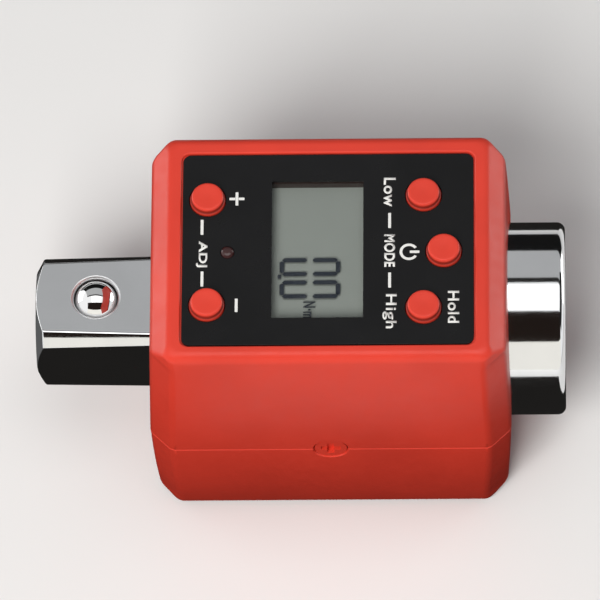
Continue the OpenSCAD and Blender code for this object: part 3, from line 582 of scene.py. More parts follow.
def turned_tree():
    """Tree that turns a profile, given as the points of a mesh, about Z at a centre."""
    tree, given = new_tree("turned_from_profile", Profile="Object", Rings="Int", Steps="Int",
                           Centre="Vector", Material="Material")
    profile = add(tree, "GeometryNodeObjectInfo", {"Object": given["Profile"]}, "Geometry")
    last = maths(tree, "SUBTRACT", given["Rings"], 1)
    grid = add(tree, "GeometryNodeMeshGrid", {
        "Size X": 1, "Size Y": last, "Vertices X": maths(tree, "ADD", given["Steps"], 1),
        "Vertices Y": given["Rings"]})
    where = add(tree, "GeometryNodeInputPosition")
    split = add(tree, "ShaderNodeSeparateXYZ", {0: where}, ALL)
    row = maths(tree, "ROUND", maths(tree, "ADD", split["Y"], maths(tree, "DIVIDE", last, 2)))
    turn = maths(tree, "MULTIPLY", maths(tree, "ADD", split["X"], 0.5), math.tau)
    sample = add(tree, "GeometryNodeSampleIndex", {"Geometry": profile, "Value": where, "Index": row},
                 data_type="FLOAT_VECTOR")
    point = add(tree, "ShaderNodeSeparateXYZ", {0: sample}, ALL)
    spot = add(tree, "ShaderNodeCombineXYZ", {
        "X": maths(tree, "MULTIPLY", point["X"], maths(tree, "COSINE", turn)),
        "Y": maths(tree, "MULTIPLY", point["X"], maths(tree, "SINE", turn)), "Z": point["Z"]})
    moved = add(tree, "GeometryNodeSetPosition", {"Geometry": grid, "Position": spot})
    merged = add(tree, "GeometryNodeMergeByDistance", {"Geometry": moved, "Distance": FINE_GAP * MM})
    placed = add(tree, "GeometryNodeTransform", {"Geometry": merged, "Translation": given["Centre"]})
    return finish_tree(tree, placed, given)


def marks_tree():
    """Tree that sets a copy of one mark on each point, turned and stretched as the point says."""
    tree, given = new_tree("marks_on_points", Mark="Object", Material="Material")
    turn, share = (add(tree, "GeometryNodeInputNamedAttribute", {"Name": name}, data_type="FLOAT")
                   for name in ("turn", "share"))
    copies = add(tree, "GeometryNodeInstanceOnPoints", {
        "Points": add(tree, "GeometryNodeMeshToPoints", {"Mesh": given["Geometry"]}),
        "Instance": add(tree, "GeometryNodeObjectInfo", {"Object": given["Mark"]}, "Geometry"),
        "Rotation": add(tree, "ShaderNodeCombineXYZ", {"Z": turn}),
        "Scale": add(tree, "ShaderNodeCombineXYZ", {"X": share, "Y": 1, "Z": 1})})
    return finish_tree(tree, copies, given)


def grown(name, start, tree, **values):
    """Object whose mesh the tree makes from a start mesh and named inputs."""
    piece = shown(name, start)
    step = piece.modifiers.new(tree.name, "NODES")
    step.node_group = tree
    for item in tree.interface.items_tree:
        if item.in_out == "INPUT" and item.name in values:
            step[item.identifier] = values[item.name]
    settle(piece)
    return piece


def marks(name, mark, places, look):
    """One piece of many marks: each place is x, y, z, turn and share of the mark's length."""
    start = mesh_of(name, [p[:3] for p in places])
    for key, column in (("turn", 3), ("share", 4)):
        values = start.attributes.new(key, "FLOAT", "POINT")
        values.data.foreach_set("value", [float(p[column]) for p in places])
    piece = grown(name, start, marks_tree(), Mark=mark, Material=material_for(look))
    bpy.data.objects.remove(mark)
    tidy(piece)
    return piece


# Housing


# Cutters are lines of (radius, depth); the lips count their radius from the way that they open
DRIVE_WAY_R, COLLAR_WAY_R, LIGHT_WAY_R = 9.1, 12.15, 0.85
DRIVE_WAY_LIP = ((0.7, -1), (0.3, 0.05), (0.08, 0.3), (0, 0.55), (0, 12))
COLLAR_WAY_LIP = ((0.7, -1), (0.25, 0.05), (0.06, 0.3), (0, 0.5), (0, 14))
SEAM_SCREW_WAY = ((2.45, -0.6), (2.3, -0.02), (2.16, 0.08), (2.1, 0.22), (2.1, 1.5), (1.4, 1.5), (1.4, 9))
SHELL_SCREW_WAY = ((2.15, -0.2), (1.98, 0.1), (1.9, 0.25), (1.9, 9.6))
SHELL_SCREW_HEAD_R = 1.8
COVER_WAY = ((11.45, -0.2), (11.3, 0.12), (11.3, 0.9), (12.7, 0.9), (12.7, 3))
COVER_TABS, COVER_OPEN_DEG, NOTCH_AT_R = 3, 55, 9.5
# Rim of the panel's recess: growth of the outline and height from the flat top
RIM_LINE = ((0, -0.2), (0.04, -0.1), (0.12, -0.03), (0.25, 0.01), (1.25, 0.5))
PANEL_PLAY, LENS_PLAY, LENS_SHELF, REBATE_CORNER_R, OPENING_CORNER_R = 0.1, 0.1, 0.65, 0.65, 0.2
UNDER_TOP, KEY_WAY_H = 4, 5
NOTCH_L, NOTCH_D, NOTCH_CORNER_R, NOTCH_TOP_Z = 6, 6.4, 0.3, 1.5
CORNER_GAIN = 2 - math.sqrt(2)


def outline_levels(height):
    """Heights above the seam with the half length, half depth and corner cut at each."""
    bow, edge, taper, slope_w, drop, crease, cut, end_cut = in_mm(
        bpy.context.scene.housing_settings, "bow_radius", "edge_radius", "end_taper", "slope_width",
        "slope_drop", "crease_radius", "corner_cut", "corner_end_cut")
    blend, least_step = 0.8, 0.004
    band = height - drop
    turn = math.asin((height - edge) / (bow - edge))
    middle_y = HALF_D - bow
    depth_line = [(bow * math.sin(turn * i / 14), middle_y + bow * math.cos(turn * i / 14))
                  for i in range(15)]
    for i in range(1, 11):
        a = turn + (math.pi / 2 - turn) * i / 10
        depth_line.append((height - edge + edge * math.sin(a),
                           middle_y + (bow - edge) * math.cos(turn) + edge * math.cos(a)))
    wall_end, band_end = HALF_L - taper, HALF_L - taper - slope_w
    length_line = filleted([(0, HALF_L), (band, wall_end), (height, band_end), (height, 0)],
                           [crease, crease], 8)[:-1]

    def at(line, z):
        for (z0, v0), (z1, v1) in zip(line, line[1:]):
            if z0 <= z <= z1 and z1 > z0:
                return v0 + (v1 - v0) * (z - z0) / (z1 - z0)
        return line[-1][1]

    heights = sorted({round(p[0], 5) for p in [*depth_line, *length_line]})
    clean = [heights[0]]
    for z in heights[1:]:
        if z - clean[-1] > least_step:
            clean.append(z)
    clean[-1] = height
    levels = []
    for z in clean:
        rise = z - band
        if abs(rise) < blend:
            rise = (rise + blend) ** 2 / (4 * blend)
        cut_here = cut - (cut - end_cut) * max(0, rise) / drop
        levels.append((z, at(length_line, z), at(depth_line, z), cut_here))
    return levels


def cut_outline(half_l, half_d, cut, radius, steps=5):
    """Rectangle with cut corners whose eight edges are rounded, always with as many points."""
    inner = max(0.0, cut - CORNER_GAIN * radius)
    quarter = []
    for start, far_l, far_d in ((0, half_l - radius, half_d - radius - inner),
                                (45, half_l - radius - inner, half_d - radius)):
        for j in range(steps + 1):
            a = math.radians(start + 45 * j / steps)
            quarter.append((far_l + radius * math.cos(a), far_d + radius * math.sin(a)))
    outline = []
    for sx, sy in ((1, 1), (-1, 1), (-1, -1), (1, -1)):
        corner = quarter if sx == sy else quarter[::-1]
        outline += [(sx * x, sy * y) for x, y in corner]
    return outline


def housing_ring(half_l, half_d, cut, z, side, radius, inset=0.0):
    """Ring of the housing at height z from the seam, on the side above or below it."""
    cut -= CORNER_GAIN * inset
    outline = cut_outline(half_l - inset, half_d - inset, cut, radius)
    return [(MID_X + x, y, SEAM_Z + side * z) for x, y in outline]


def shell_solid(name, height, side):
    """Solid half of the housing with its edge broken at the seam, hollowed out."""
    broken, wall, ceiling, upright, taper = in_mm(
        bpy.context.scene.housing_settings, "seam_break", "wall", "ceiling", "upright_radius", "end_taper")
    inner_radius, hollow_margin = 0.3, 0.2
    levels = outline_levels(height)
    half_l, half_d, cut = levels[0][1:]
    rings = []
    for j in range(4):
        rise = math.sin(math.pi / 2 * j / 4)
        rings.append(housing_ring(half_l, half_d, cut, broken * rise, side, upright,
                                  broken * (1 - rise) * (1 - j / 4)))
    rings += [housing_ring(*level[1:], level[0], side, upright) for level in levels if level[0] > broken]
    shell = loft(name, rings)
    inner = [housing_ring(half_l, half_d, cut, -THROUGH, side, inner_radius, wall)]
    for z, level_l, level_d, _ in levels:
        if z < height - ceiling - hollow_margin:
            inner.append(housing_ring(min(level_l, HALF_L - taper), level_d, cut, z, side,
                                      inner_radius, wall))
    inner.append([(p[0], p[1], SEAM_Z + side * (height - ceiling)) for p in inner[-1]])
    combine(shell, "DIFFERENCE", [loft("hollow", inner)])
    return shell


def passage_cutters():
    """Cutters for the shaft's two ways out and for the two seam screws."""
    cutters = [
        lathe("drive_way", [(DRIVE_WAY_R + r, t) for r, t in DRIVE_WAY_LIP], (LEFT_X, 0, SEAM_Z),
              ALONG, 128),
        lathe("collar_way", [(COLLAR_WAY_R + r, t) for r, t in COLLAR_WAY_LIP], (RIGHT_X, 0, SEAM_Z),
              BACK_ALONG, 128)]
    for side in (-1, 1):
        cutters.append(lathe("screw_way", SEAM_SCREW_WAY, (MID_X, side * HALF_D, SEAM_Z),
                             (0, -side, 0), 64))
    return cutters


class TORQUE_OT_housing(bpy.types.Operator):
    """Moulds the two shells of the housing with their openings and the panel's recess"""

    bl_idname = "torque.housing"
    bl_label = "Housing"

    def execute(self, context):
        for name, height, side, cutters in (
                ("upper_shell", CROWN_H, 1, self.upper_cutters(context)),
                ("lower_shell", FOOT_H, -1, self.lower_cutters())):
            shell = shell_solid(name + "_skin", height, side)
            combine(shell, "DIFFERENCE", cutters + passage_cutters())
            dress(shell, "moulded_red", nodes=[name])
        return {"FINISHED"}

    def upper_cutters(self, context):
        """Cutters for the panel's recess, the window, the keys and the light."""
        long, deep = PANEL_L + PANEL_PLAY, PANEL_D + PANEL_PLAY
        corner, key_way = in_mm(context.scene.panel_settings, "corner", "key_hole")
        corner += PANEL_PLAY / 2
        floor = TOP_Z - context.scene.housing_settings.recess / MM
        rings = [plate_ring(PANEL_MID, long, deep, corner, floor)]
        for grow, rise in RIM_LINE:
            rings.append(plate_ring(PANEL_MID, long + 2 * grow, deep + 2 * grow, corner + grow,
                                    TOP_Z + rise))
        under = TOP_Z - UNDER_TOP
        light_way = [(LIGHT_WAY_R, 0), (LIGHT_WAY_R, KEY_WAY_H)]
        return [
            loft("recess", rings),
            plate("rebate", LENS_MID, LENS_L + LENS_PLAY, LENS_D + LENS_PLAY, REBATE_CORNER_R,
                  LENS_LOW.z, TOP_Z + THROUGH),
            plate("opening", LENS_MID, LENS_L - 2 * LENS_SHELF, LENS_D - 2 * LENS_SHELF,
                  OPENING_CORNER_R, under, TOP_Z),
            *[bore(key + "_button", [(key_way, 0), (key_way, KEY_WAY_H)], under, UP, 64) for key in KEYS],
            bore("light_pipe", light_way, under, UP, 48),
        ]

    def lower_cutters(self):
        """Cutters for the battery cover, the notches of its tabs and the screws."""
        tray = middle("battery_cell")
        cutters = [bore("battery_cell", COVER_WAY, 0, UP, 128)]
        for tab in range(COVER_TABS):
            a = math.radians(90 + 360 / COVER_TABS * tab + COVER_OPEN_DEG)
            at = Vector((tray.x, tray.y)) + Vector((math.cos(a), math.sin(a))) * NOTCH_AT_R
            notch = plate("notch", (0, 0), NOTCH_L, NOTCH_D, NOTCH_CORNER_R, -THROUGH, NOTCH_TOP_Z)
            notch.data.transform(Matrix.Translation((at.x * MM, at.y * MM, 0))
                                 @ Matrix.Rotation(a, 4, "Z"))
            cutters.append(notch)
        low, high = corners("shell_screws")
        for x in (low.x + SHELL_SCREW_HEAD_R, high.x - SHELL_SCREW_HEAD_R):
            for y in (low.y + SHELL_SCREW_HEAD_R, high.y - SHELL_SCREW_HEAD_R):
                cutters.append(lathe("screw_way", SHELL_SCREW_WAY, (x, y, 0), UP, 64))
        return cutters


# Shaft


# Turned stretches, and the socket's cutters as lines of (radius, depth from the mouth)
JOURNAL_R, WAIST_R, HUB_R, COLLAR_R = 8.8, 5.5, 10, 12
FLATS_HALF, FLATS_CORNER_R, SOCKET_DEPTH = 6, 7, 16.5
SOCKET_CORNER_R, MOUTH_BEVEL, GROOVE_LINE = 0.35, 1.1, ((7.2, 5), (7.5, 5.3), (7.5, 9.7), (7.2, 10))
DRILL_LINE = ((6.3, 16), (6.3, 17.6), (0.05, 18))
MOUTH_LINE, MOUTH_FLOOR_R = ((0.5, -THROUGH), (0.25, -0.05), (0.02, 0.1), (-1, MOUTH_BEVEL)), 3
SOCKET_MIDDLE, JOURNAL_START, JOURNAL_END, HUB_START, COLLAR_START, LEAST_R = 4, 0.4, 8, 4, 10.2, 0.02
NOSE_ROUNDINGS, NOSE_STEP, NOSE_REACH, REST_STEPS = (0.25, 0.35), 0.12, 2, 4
# Ball, its bore and the peened lip, as radii and depths below the flat
BALL_R, BALL_WAY_R, PEENED_R, PEENED_DEPTH, BALL_WEAR = 2.9, 2.95, 3.42, 0.6, 0.05
LIP_LINE_R, LIP_BULGE, LIP_MID_DEPTH, LIP_HALF_DEPTH = 3.5, 0.74, 0.36, 0.42
OVER_LIP, UNDER_LIP = ((3.6, -0.3), (3.52, -0.1)), ((2.76, 0.7), (BALL_WAY_R, 1.5), (BALL_WAY_R, 4))
PEENED_SKIN, WORN_FROM, WORN_OVER, POLE_R = 0.004, 0.2, 0.4, 0.0005
# Angles of a square's points: steps beside an edge, and shares of a corner and of a flat
NEAR_EDGE = (-0.036, -0.022, -0.012, -0.004, 0.004, 0.012, 0.022, 0.036)
CORNER_SHARES, FLAT_SHARES = (-0.85, -0.6, -0.3, 0, 0.3, 0.6, 0.85), (0.3, 0.4, 0.5, 0.6, 0.7)
TIGHT_SHARES, LEAST_REACH = (-0.1, -0.05, -0.02, 0, 0.02, 0.05, 0.1), 0.045


def square_ring(x, half, radius, soft):
    """Section of a square bar with turned corners and softened edges, at x."""
    reach = max(math.acos(half / radius) if radius > half else 0, LEAST_REACH)
    angles = [reach * s for s in (CORNER_SHARES if reach > 0.08 else TIGHT_SHARES)]
    angles += [reach + o for o in NEAR_EDGE]
    angles += [reach + (math.pi / 2 - 2 * reach) * s for s in FLAT_SHARES]
    angles += [math.pi / 2 - reach + o for o in NEAR_EDGE]
    angles.sort()
    points = []
    for quarter in range(4):
        for a in angles:
            flat = half / max(0.05, math.cos(a if a < math.pi / 4 else math.pi / 2 - a))
            least = min(flat, radius)
            r = least - soft * math.log(
                math.exp((least - flat) / soft) + math.exp((least - radius) / soft))
            b = a + math.pi / 2 * quarter
            points.append((x, r * math.cos(b), SEAM_Z + r * math.sin(b)))
    return points


class TORQUE_OT_shaft(bpy.types.Operator):
    """Makes the chromed shaft with its square and socket, the held ball and its spring"""

    bl_idname = "torque.shaft"
    bl_label = "Shaft"

    def execute(self, context):
        shaft = context.scene.shaft_settings
        half, soft, flat = shaft.square / 2 / MM, shaft.softness / MM, SEAM_Z + shaft.square / 2 / MM
        steel = self.male_square(shaft, half, soft)
        combine(steel, "UNION", self.turned_parts(shaft.lip / MM, soft))
        combine(steel, "DIFFERENCE", self.socket_cutters(shaft.socket / MM) + [self.pocket(flat)])
        dress(steel, "chrome", nodes=["torque_shaft"], smooth=30)
        steel.data.materials.append(material_for("peened"))
        for face in steel.data.polygons:
            away = Vector(face.center) / MM - Vector((BALL_MID.x, 0, flat))
            if Vector(away[:2]).length < PEENED_R and -PEENED_DEPTH < away.z < -PEENED_SKIN:
                face.material_index = 1
        self.ball()
        self.spring()
        return {"FINISHED"}

    def male_square(self, shaft, half, soft):
        """Square bar whose corners are turned along a line from the nose to the housing."""
        nose, end, bevel, corner = in_mm(shaft, "nose_radius", "nose_flat", "nose_bevel", "corner_radius")
        line = filleted([(NOSE_X, 0), (NOSE_X, end), (NOSE_X + bevel, nose), (LEFT_X, corner)],
                        NOSE_ROUNDINGS, 6)
        fine = [line[1]]
        for start, stop in zip(line[1:], line[2:]):
            near = stop.x < NOSE_X + NOSE_REACH
            steps = max(1, round((stop - start).length / NOSE_STEP)) if near else REST_STEPS
            fine += [start.lerp(stop, (s + 1) / steps) for s in range(steps)]
        rings = [square_ring(p.x, half, p.y, soft) for p in fine]
        rings.append(square_ring(LEFT_X + THROUGH, half, corner, soft))
        return loft("shaft_skin", rings)

    def turned_parts(self, lip, soft):
        """Journal, waist, hub and collar in one turned solid, and the flats of the gauges."""
        front, waist = LEFT_X + JOURNAL_START, LEFT_X + JOURNAL_END
        hub, collar = MID_X - HUB_START, RIGHT_X - COLLAR_START
        chamfer, overlap = 0.2, 0.3
        turned = [(0, front), (JOURNAL_R - chamfer, front), (JOURNAL_R, front + chamfer),
                  (JOURNAL_R, waist), (WAIST_R, waist), (WAIST_R, hub), (HUB_R - chamfer, hub),
                  (HUB_R, hub + chamfer), (HUB_R, collar), (COLLAR_R, collar),
                  *quarter(COLLAR_R - lip, MOUTH_X - lip, lip), (0, MOUTH_X)]
        body = lathe("turned_body", [(max(r, LEAST_R), t) for r, t in turned], (0, 0, SEAM_Z), ALONG, 192)
        flats = loft("gauge_flats", [square_ring(x, FLATS_HALF, FLATS_CORNER_R, soft)
                                     for x in (waist - overlap, hub + overlap)])
        return [body, flats]

    def socket_cutters(self, side):
        """Square bar, bevelled mouth, ball groove and drill end of the socket."""
        diagonal = side / math.sqrt(2)
        ring = [(p[0], p[1] + SEAM_Z) for p in plate_ring((0, 0), side, side, SOCKET_CORNER_R, 0)]
        mouth = [*[(diagonal + r, t) for r, t in MOUTH_LINE], (MOUTH_FLOOR_R, MOUTH_BEVEL)]
        centre = (MOUTH_X, 0, SEAM_Z)
        bar = [[(MOUTH_X - depth, *p) for p in ring]
               for depth in (SOCKET_DEPTH, SOCKET_MIDDLE, -THROUGH)]
        return [
            loft("socket_bar", bar),
            lathe("mouth", mouth, centre, BACK_ALONG, 128),
            lathe("groove", GROOVE_LINE, centre, BACK_ALONG),
            lathe("drill", DRILL_LINE, centre, BACK_ALONG),
        ]

    def pocket(self, flat):
        """Cutter for the ball's bore with the peened lip that holds the ball."""
        turns = [math.radians(9 * j) for j in range(11)]
        lip = [(LIP_LINE_R - LIP_BULGE * math.sin(a), LIP_MID_DEPTH - LIP_HALF_DEPTH * math.cos(a))
               for a in turns]
        return lathe("pocket", [*OVER_LIP, *lip, *UNDER_LIP], (BALL_MID.x, 0, flat), DOWN)

    def ball(self):
        """Ball that is worn a little flatter towards its top."""
        line = []
        for j in range(41):
            a = math.pi * j / 40
            radius = BALL_R - BALL_WEAR * min(1, max(0, (math.cos(a) - WORN_FROM) / WORN_OVER))
            line.append((radius * math.sin(a) + POLE_R, -radius * math.cos(a)))
        ball = lathe("detent_ball_skin", line, BALL_MID, UP, 80)
        dress(ball, "ball_chrome", "ball", ["detent_ball"], 60)

    def spring(self):
        """Copy of the model's spring, which in the real adapter is squashed as the ball goes in, with a
        mesh of its own.
        """
        spring = shown("detent_spring_coil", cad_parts["detent_spring"].data.copy())
        dress(spring, "steel", nodes=["detent_spring"], smooth=50)
        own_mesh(spring)


# Panel and its signs


KEY_HOLE_LIP = ((0.2, -0.2), (0.05, 0.02), (0, 0.08), (0, 2))
LIGHT_HOLE = ((0.95, -0.1), (0.85, 0.05), (0.85, 2))
WINDOW_MARGIN, WINDOW_CORNER_R, WINDOW_WAY_H, OVER_FILM = 2.1, 0.12, 2, 0.002
DASH_L, DASH_W, DASH_CORNER_SHARE, LETTER_SPACING = 2.12, 0.35, 0.12, 1.08
# Legends: text, place from the middle of the housing, length, height and weight
LEGENDS = (("Low", 7.62, 7.75, 4.1, 1.5, 0.02), ("MODE", 7.62, -0.5, 4.6, 1.36, 0.034),
           ("High", 7.62, -9.0, 4.8, 1.75, 0.018), ("Hold", 15.48, -8.46, 4.5, 1.42, 0.022),
           ("ADJ", -15.56, -0.8, 3.7, 1.4, 0.03))
PLUS_X, PLUS_Y, PLUS_ARM, PLUS_SHARE, PLUS_ARM_SHARE = -11.28, 6.95, 0.57, 0.88, 0.34
ACROSS = math.pi / 2
# Dashes: place, turn and share of a dash's length
DASHES = ((PLUS_X, PLUS_Y, ACROSS, PLUS_SHARE), (PLUS_X - PLUS_ARM, PLUS_Y, 0, PLUS_ARM_SHARE),
          (PLUS_X + PLUS_ARM, PLUS_Y, 0, PLUS_ARM_SHARE), (-11.25, -8.04, ACROSS, PLUS_SHARE),
          (-15.56, 2.97, ACROSS, 1), (-15.5, -4.31, ACROSS, 1), (7.61, 3.74, ACROSS, 1),
          (7.62, -4.65, ACROSS, 1), (10.7, -0.7, 0, 0.56))
POWER_X, POWER_Y, POWER_OUT_R, POWER_IN_R, POWER_GAP_DEG = 10.0, -0.7, 1.16, 0.82, 34


def thick(piece, depth):
    """Gives a flat sign its thickness in millimetres, upwards, with its faces in one order each run."""
    work = bmesh.new()
    work.from_mesh(piece.data)
    bmesh.ops.remove_doubles(work, verts=work.verts, dist=DOUBLES_GAP * MM)
    for face in work.faces:
        if face.normal.z < 0:
            face.normal_flip()
    raised = bmesh.ops.extrude_face_region(work, geom=list(work.faces))
    for v in raised["geom"]:
        if isinstance(v, bmesh.types.BMVert):
            v.co.z += depth * MM
    places = sorted(work.faces, key=lambda face: face.calc_center_median().to_tuple(7))
    for rank, face in enumerate(places):
        face.index = rank
    work.faces.sort()
    bmesh.ops.recalc_face_normals(work, faces=work.faces)
    work.to_mesh(piece.data)
    work.free()
    return piece


def words(text, centre, long, high, weight, depth):
    """Lettering whose tops face the socket end, fitted to a length and a height."""
    curve = bpy.data.curves.new("words", "FONT")
    curve.body = text
    curve.size = 1
    curve.offset = weight
    curve.space_character = LETTER_SPACING
    curve.align_x = "CENTER"
    piece = shown("words", curve)
    mesh = evaluated(piece)
    bpy.data.objects.remove(piece)
    xs = [v.co.x for v in mesh.vertices]
    ys = [v.co.y for v in mesh.vertices]
    middle_x, middle_y = (min(xs) + max(xs)) / 2, (min(ys) + max(ys)) / 2
    scale_x, scale_y = long / (max(xs) - min(xs)), high / (max(ys) - min(ys))
    place = Matrix.Translation(Vector(centre) * MM) @ Matrix.Rotation(-ACROSS, 4, "Z")
    for v in mesh.vertices:
        v.co = place @ Vector(((v.co.x - middle_x) * scale_x * MM, (v.co.y - middle_y) * scale_y * MM, 0))
    return thick(shown("words", mesh), depth)


def joined(name, pieces):
    """One piece of several, each with its place in its mesh."""
    work = bmesh.new()
    for piece in pieces:
        work.from_mesh(piece.data)
        bpy.data.objects.remove(piece)
    mesh = bpy.data.meshes.new(name)
    work.to_mesh(mesh)
    work.free()
    return shown(name, mesh)


class TORQUE_OT_panel(bpy.types.Operator):
    """Makes the panel film with its openings and prints its signs"""

    bl_idname = "torque.panel"
    bl_label = "Panel"

    def execute(self, context):
        gap, corner, edge, hole, ink = in_mm(
            context.scene.panel_settings, "gap", "corner", "edge", "key_hole", "ink")
        top = PANEL_HIGH.z
        sheet = plate("panel_film", PANEL_MID, PANEL_L - 2 * gap, PANEL_D - 2 * gap, corner,
                      PANEL_LOW.z, top, edge)
        cutters = [bore(key + "_button", [(hole + r, t) for r, t in KEY_HOLE_LIP], top, DOWN, 72)
                   for key in KEYS]
        cutters.append(bore("light_pipe", LIGHT_HOLE, top, DOWN, 48))
        cutters.append(plate("window_way", LENS_MID, LENS_L - 2 * WINDOW_MARGIN,
                             LENS_D - 2 * WINDOW_MARGIN, WINDOW_CORNER_R, top - WINDOW_WAY_H,
                             top + THROUGH))
        combine(sheet, "DIFFERENCE", cutters)
        dress(sheet, "panel_film", nodes=["display_overlay"])
        z = top + OVER_FILM
        signs = [words(text, (MID_X + x, y, z), long, high, weight, ink)
                 for text, x, y, long, high, weight in LEGENDS]
        places = [(MID_X + x, y, z, turn, share) for x, y, turn, share in DASHES]
        dash = plate("dash", (0, 0), DASH_L, DASH_W, DASH_W * DASH_CORNER_SHARE, 0, ink)
        signs += [marks("dashes", dash, places, "ink"), self.power_sign(z, ink)]
        dress(joined("panel_print", signs), "ink", smooth=0)
        return {"FINISHED"}

    def power_sign(self, z, ink):
        """Open ring of the power sign."""
        steps = 40
        points = []
        for radius in (POWER_OUT_R, POWER_IN_R):
            for j in range(steps + 1):
                a = math.radians(POWER_GAP_DEG + (360 - 2 * POWER_GAP_DEG) * j / steps)
                points.append((MID_X + POWER_X + radius * math.cos(a), POWER_Y + radius * math.sin(a), z))
        faces = [(j, j + 1, j + steps + 2, j + steps + 1) for j in range(steps)]
        return thick(mesh_object("power_sign", points, faces), ink)


# Display


GLASS_CORNER_R, GLASS_EDGE, GLASS_GAP = 0.2, 0.05, 0.002
MASK_MARGIN, MASK_CORNER_R, MASK_GAP, MASK_WAY_MARGIN, MASK_WAY_CORNER_R = 0.05, 0.3, 0.02, 2.05, 0.15
UNIT_X, UNIT_Y, UNIT_L, UNIT_H, UNIT_WEIGHT = -2.3, -7.9, 2.3, 1.5, 0.018
# SHADOW_SHIFT and SHADOWS_OVER_REFLECTOR place the painted shadows of the digits
DIGITS_TOP_X, FIRST_DIGIT_Y, SHADOW_SHIFT = MID_X + 1.5, -1.9, 0.05
BAR_HALF_L, BAR_H, BARS_OVER_REFLECTOR, SHADOWS_OVER_REFLECTOR = 1.5, 0.02, 0.32, 0.03
END_BAR_GAP, SIDE_BAR_GAP, POINT_SHARE, POINT_DROP, POINT_SHIFT = 0.85, 0.6, 0.16, 0.28, 0.25


class TORQUE_OT_display(bpy.types.Operator):
    """Makes the display glass, its reflector, its mask, near-black as painted shade, and its digits with
    their painted shadows
    """

    bl_idname = "torque.display"
    bl_label = "Display"

    def execute(self, context):
        depth, bar, tall, wide, pitch = in_mm(
            context.scene.screen_settings, "depth", "bar", "digit_height", "digit_width", "digit_pitch")
        low, high = corners("lcd_panel")
        centre = ((low.x + high.x) / 2, (low.y + high.y) / 2)
        long, deep = high.x - low.x, high.y - low.y
        rear = high.z - depth
        back = plate("lcd_reflector", centre, long, deep, GLASS_CORNER_R, low.z, rear, GLASS_EDGE)
        dress(back, "lcd_back", nodes=["lcd_panel"])
        glass = plate("lcd_glass", centre, long, deep, GLASS_CORNER_R, rear + GLASS_GAP, high.z,
                      GLASS_EDGE)
        dress(glass, "lcd_glass")
        # The mask stands for a real bezel under the window; its near-black colour also paints the shade on
        # the wall of the opening
        mask = plate("display_mask", centre, long - 2 * MASK_MARGIN, deep - 2 * MASK_MARGIN,
                     MASK_CORNER_R, rear + MASK_GAP, LENS_LOW.z - MASK_GAP)
        window = plate("mask_way", LENS_MID, LENS_L - 2 * MASK_WAY_MARGIN, LENS_D - 2 * MASK_WAY_MARGIN,
                       MASK_WAY_CORNER_R, rear - THROUGH, LENS_LOW.z + THROUGH)
        combine(mask, "DIFFERENCE", [window])
        dress(mask, "mask")
        places = self.bar_places(bar, tall, wide, pitch)
        bars = self.bars("digit_bars", bar, places, rear + BARS_OVER_REFLECTOR, "lcd_bar")
        # Painted shadow: darker copies of the bars, shifted a little and laid just over the reflector,
        # stand in for the digits' shadow on it
        painted_shadow_places = [(x, y - SHADOW_SHIFT, *rest) for x, y, *rest in places]
        painted_shadow = self.bars("digit_shadows", bar, painted_shadow_places, rear + SHADOWS_OVER_REFLECTOR, "lcd_shadow")
        dress(painted_shadow, "lcd_shadow", smooth=0)
        unit = words("N·m", (MID_X + UNIT_X, UNIT_Y, rear + BARS_OVER_REFLECTOR), UNIT_L, UNIT_H,
                     UNIT_WEIGHT, BAR_H)
        dress(joined("lcd_digits", [bars, unit]), "lcd_bar", smooth=0)
        return {"FINISHED"}

    def bar_places(self, bar, tall, wide, pitch):
        """Places of the bars of two noughts and of the point between them: x, y, turn, share."""
        places = []
        half, full = tall / 2, 2 * BAR_HALF_L
        for digit in range(2):
            y = FIRST_DIGIT_Y - pitch * digit
            for end in (0, 1):
                places.append((DIGITS_TOP_X - bar / 2 - end * (tall - bar), y, ACROSS,
                               (wide - END_BAR_GAP) / full))
            for lower in (0, 1):
                for edge in (-1, 1):
                    places.append((DIGITS_TOP_X - half / 2 - lower * half, y + edge * (wide - bar) / 2, 0,
                                   (half - SIDE_BAR_GAP) / full))
        places.append((DIGITS_TOP_X - tall + bar / 2 - POINT_DROP,
                       FIRST_DIGIT_Y - pitch / 2 + POINT_SHIFT, 0, POINT_SHARE))
        return places

    def bars(self, name, bar, places, z, look):
        """Piece of pointed bars at the places, z above the ground."""
        point, flat = BAR_HALF_L, BAR_HALF_L - bar / 2
        outline = [(point, 0), (flat, bar / 2), (-flat, bar / 2), (-point, 0), (-flat, -bar / 2),
                   (flat, -bar / 2)]
        mark = loft("segment", [[(x, y, rise) for x, y in outline] for rise in (0, BAR_H)])
        return marks(name, mark, [(x, y, z, *rest) for x, y, *rest in places], look)


# Keys


STEM_R, FLANGE_H, FLANGE_UNDER_CEILING, KEY_STEPS = 1.2, 0.6, 0.7, 72
FOOT_LINE, STEP_LINE = ((0, 0.1), (-0.03, 0.16)), ((0.02, 0.28), (0, 0.33))
DISH_SHARES = (0.93, 0.85, 0.75, 0.6, 0.45, 0.3, 0.15, 0)


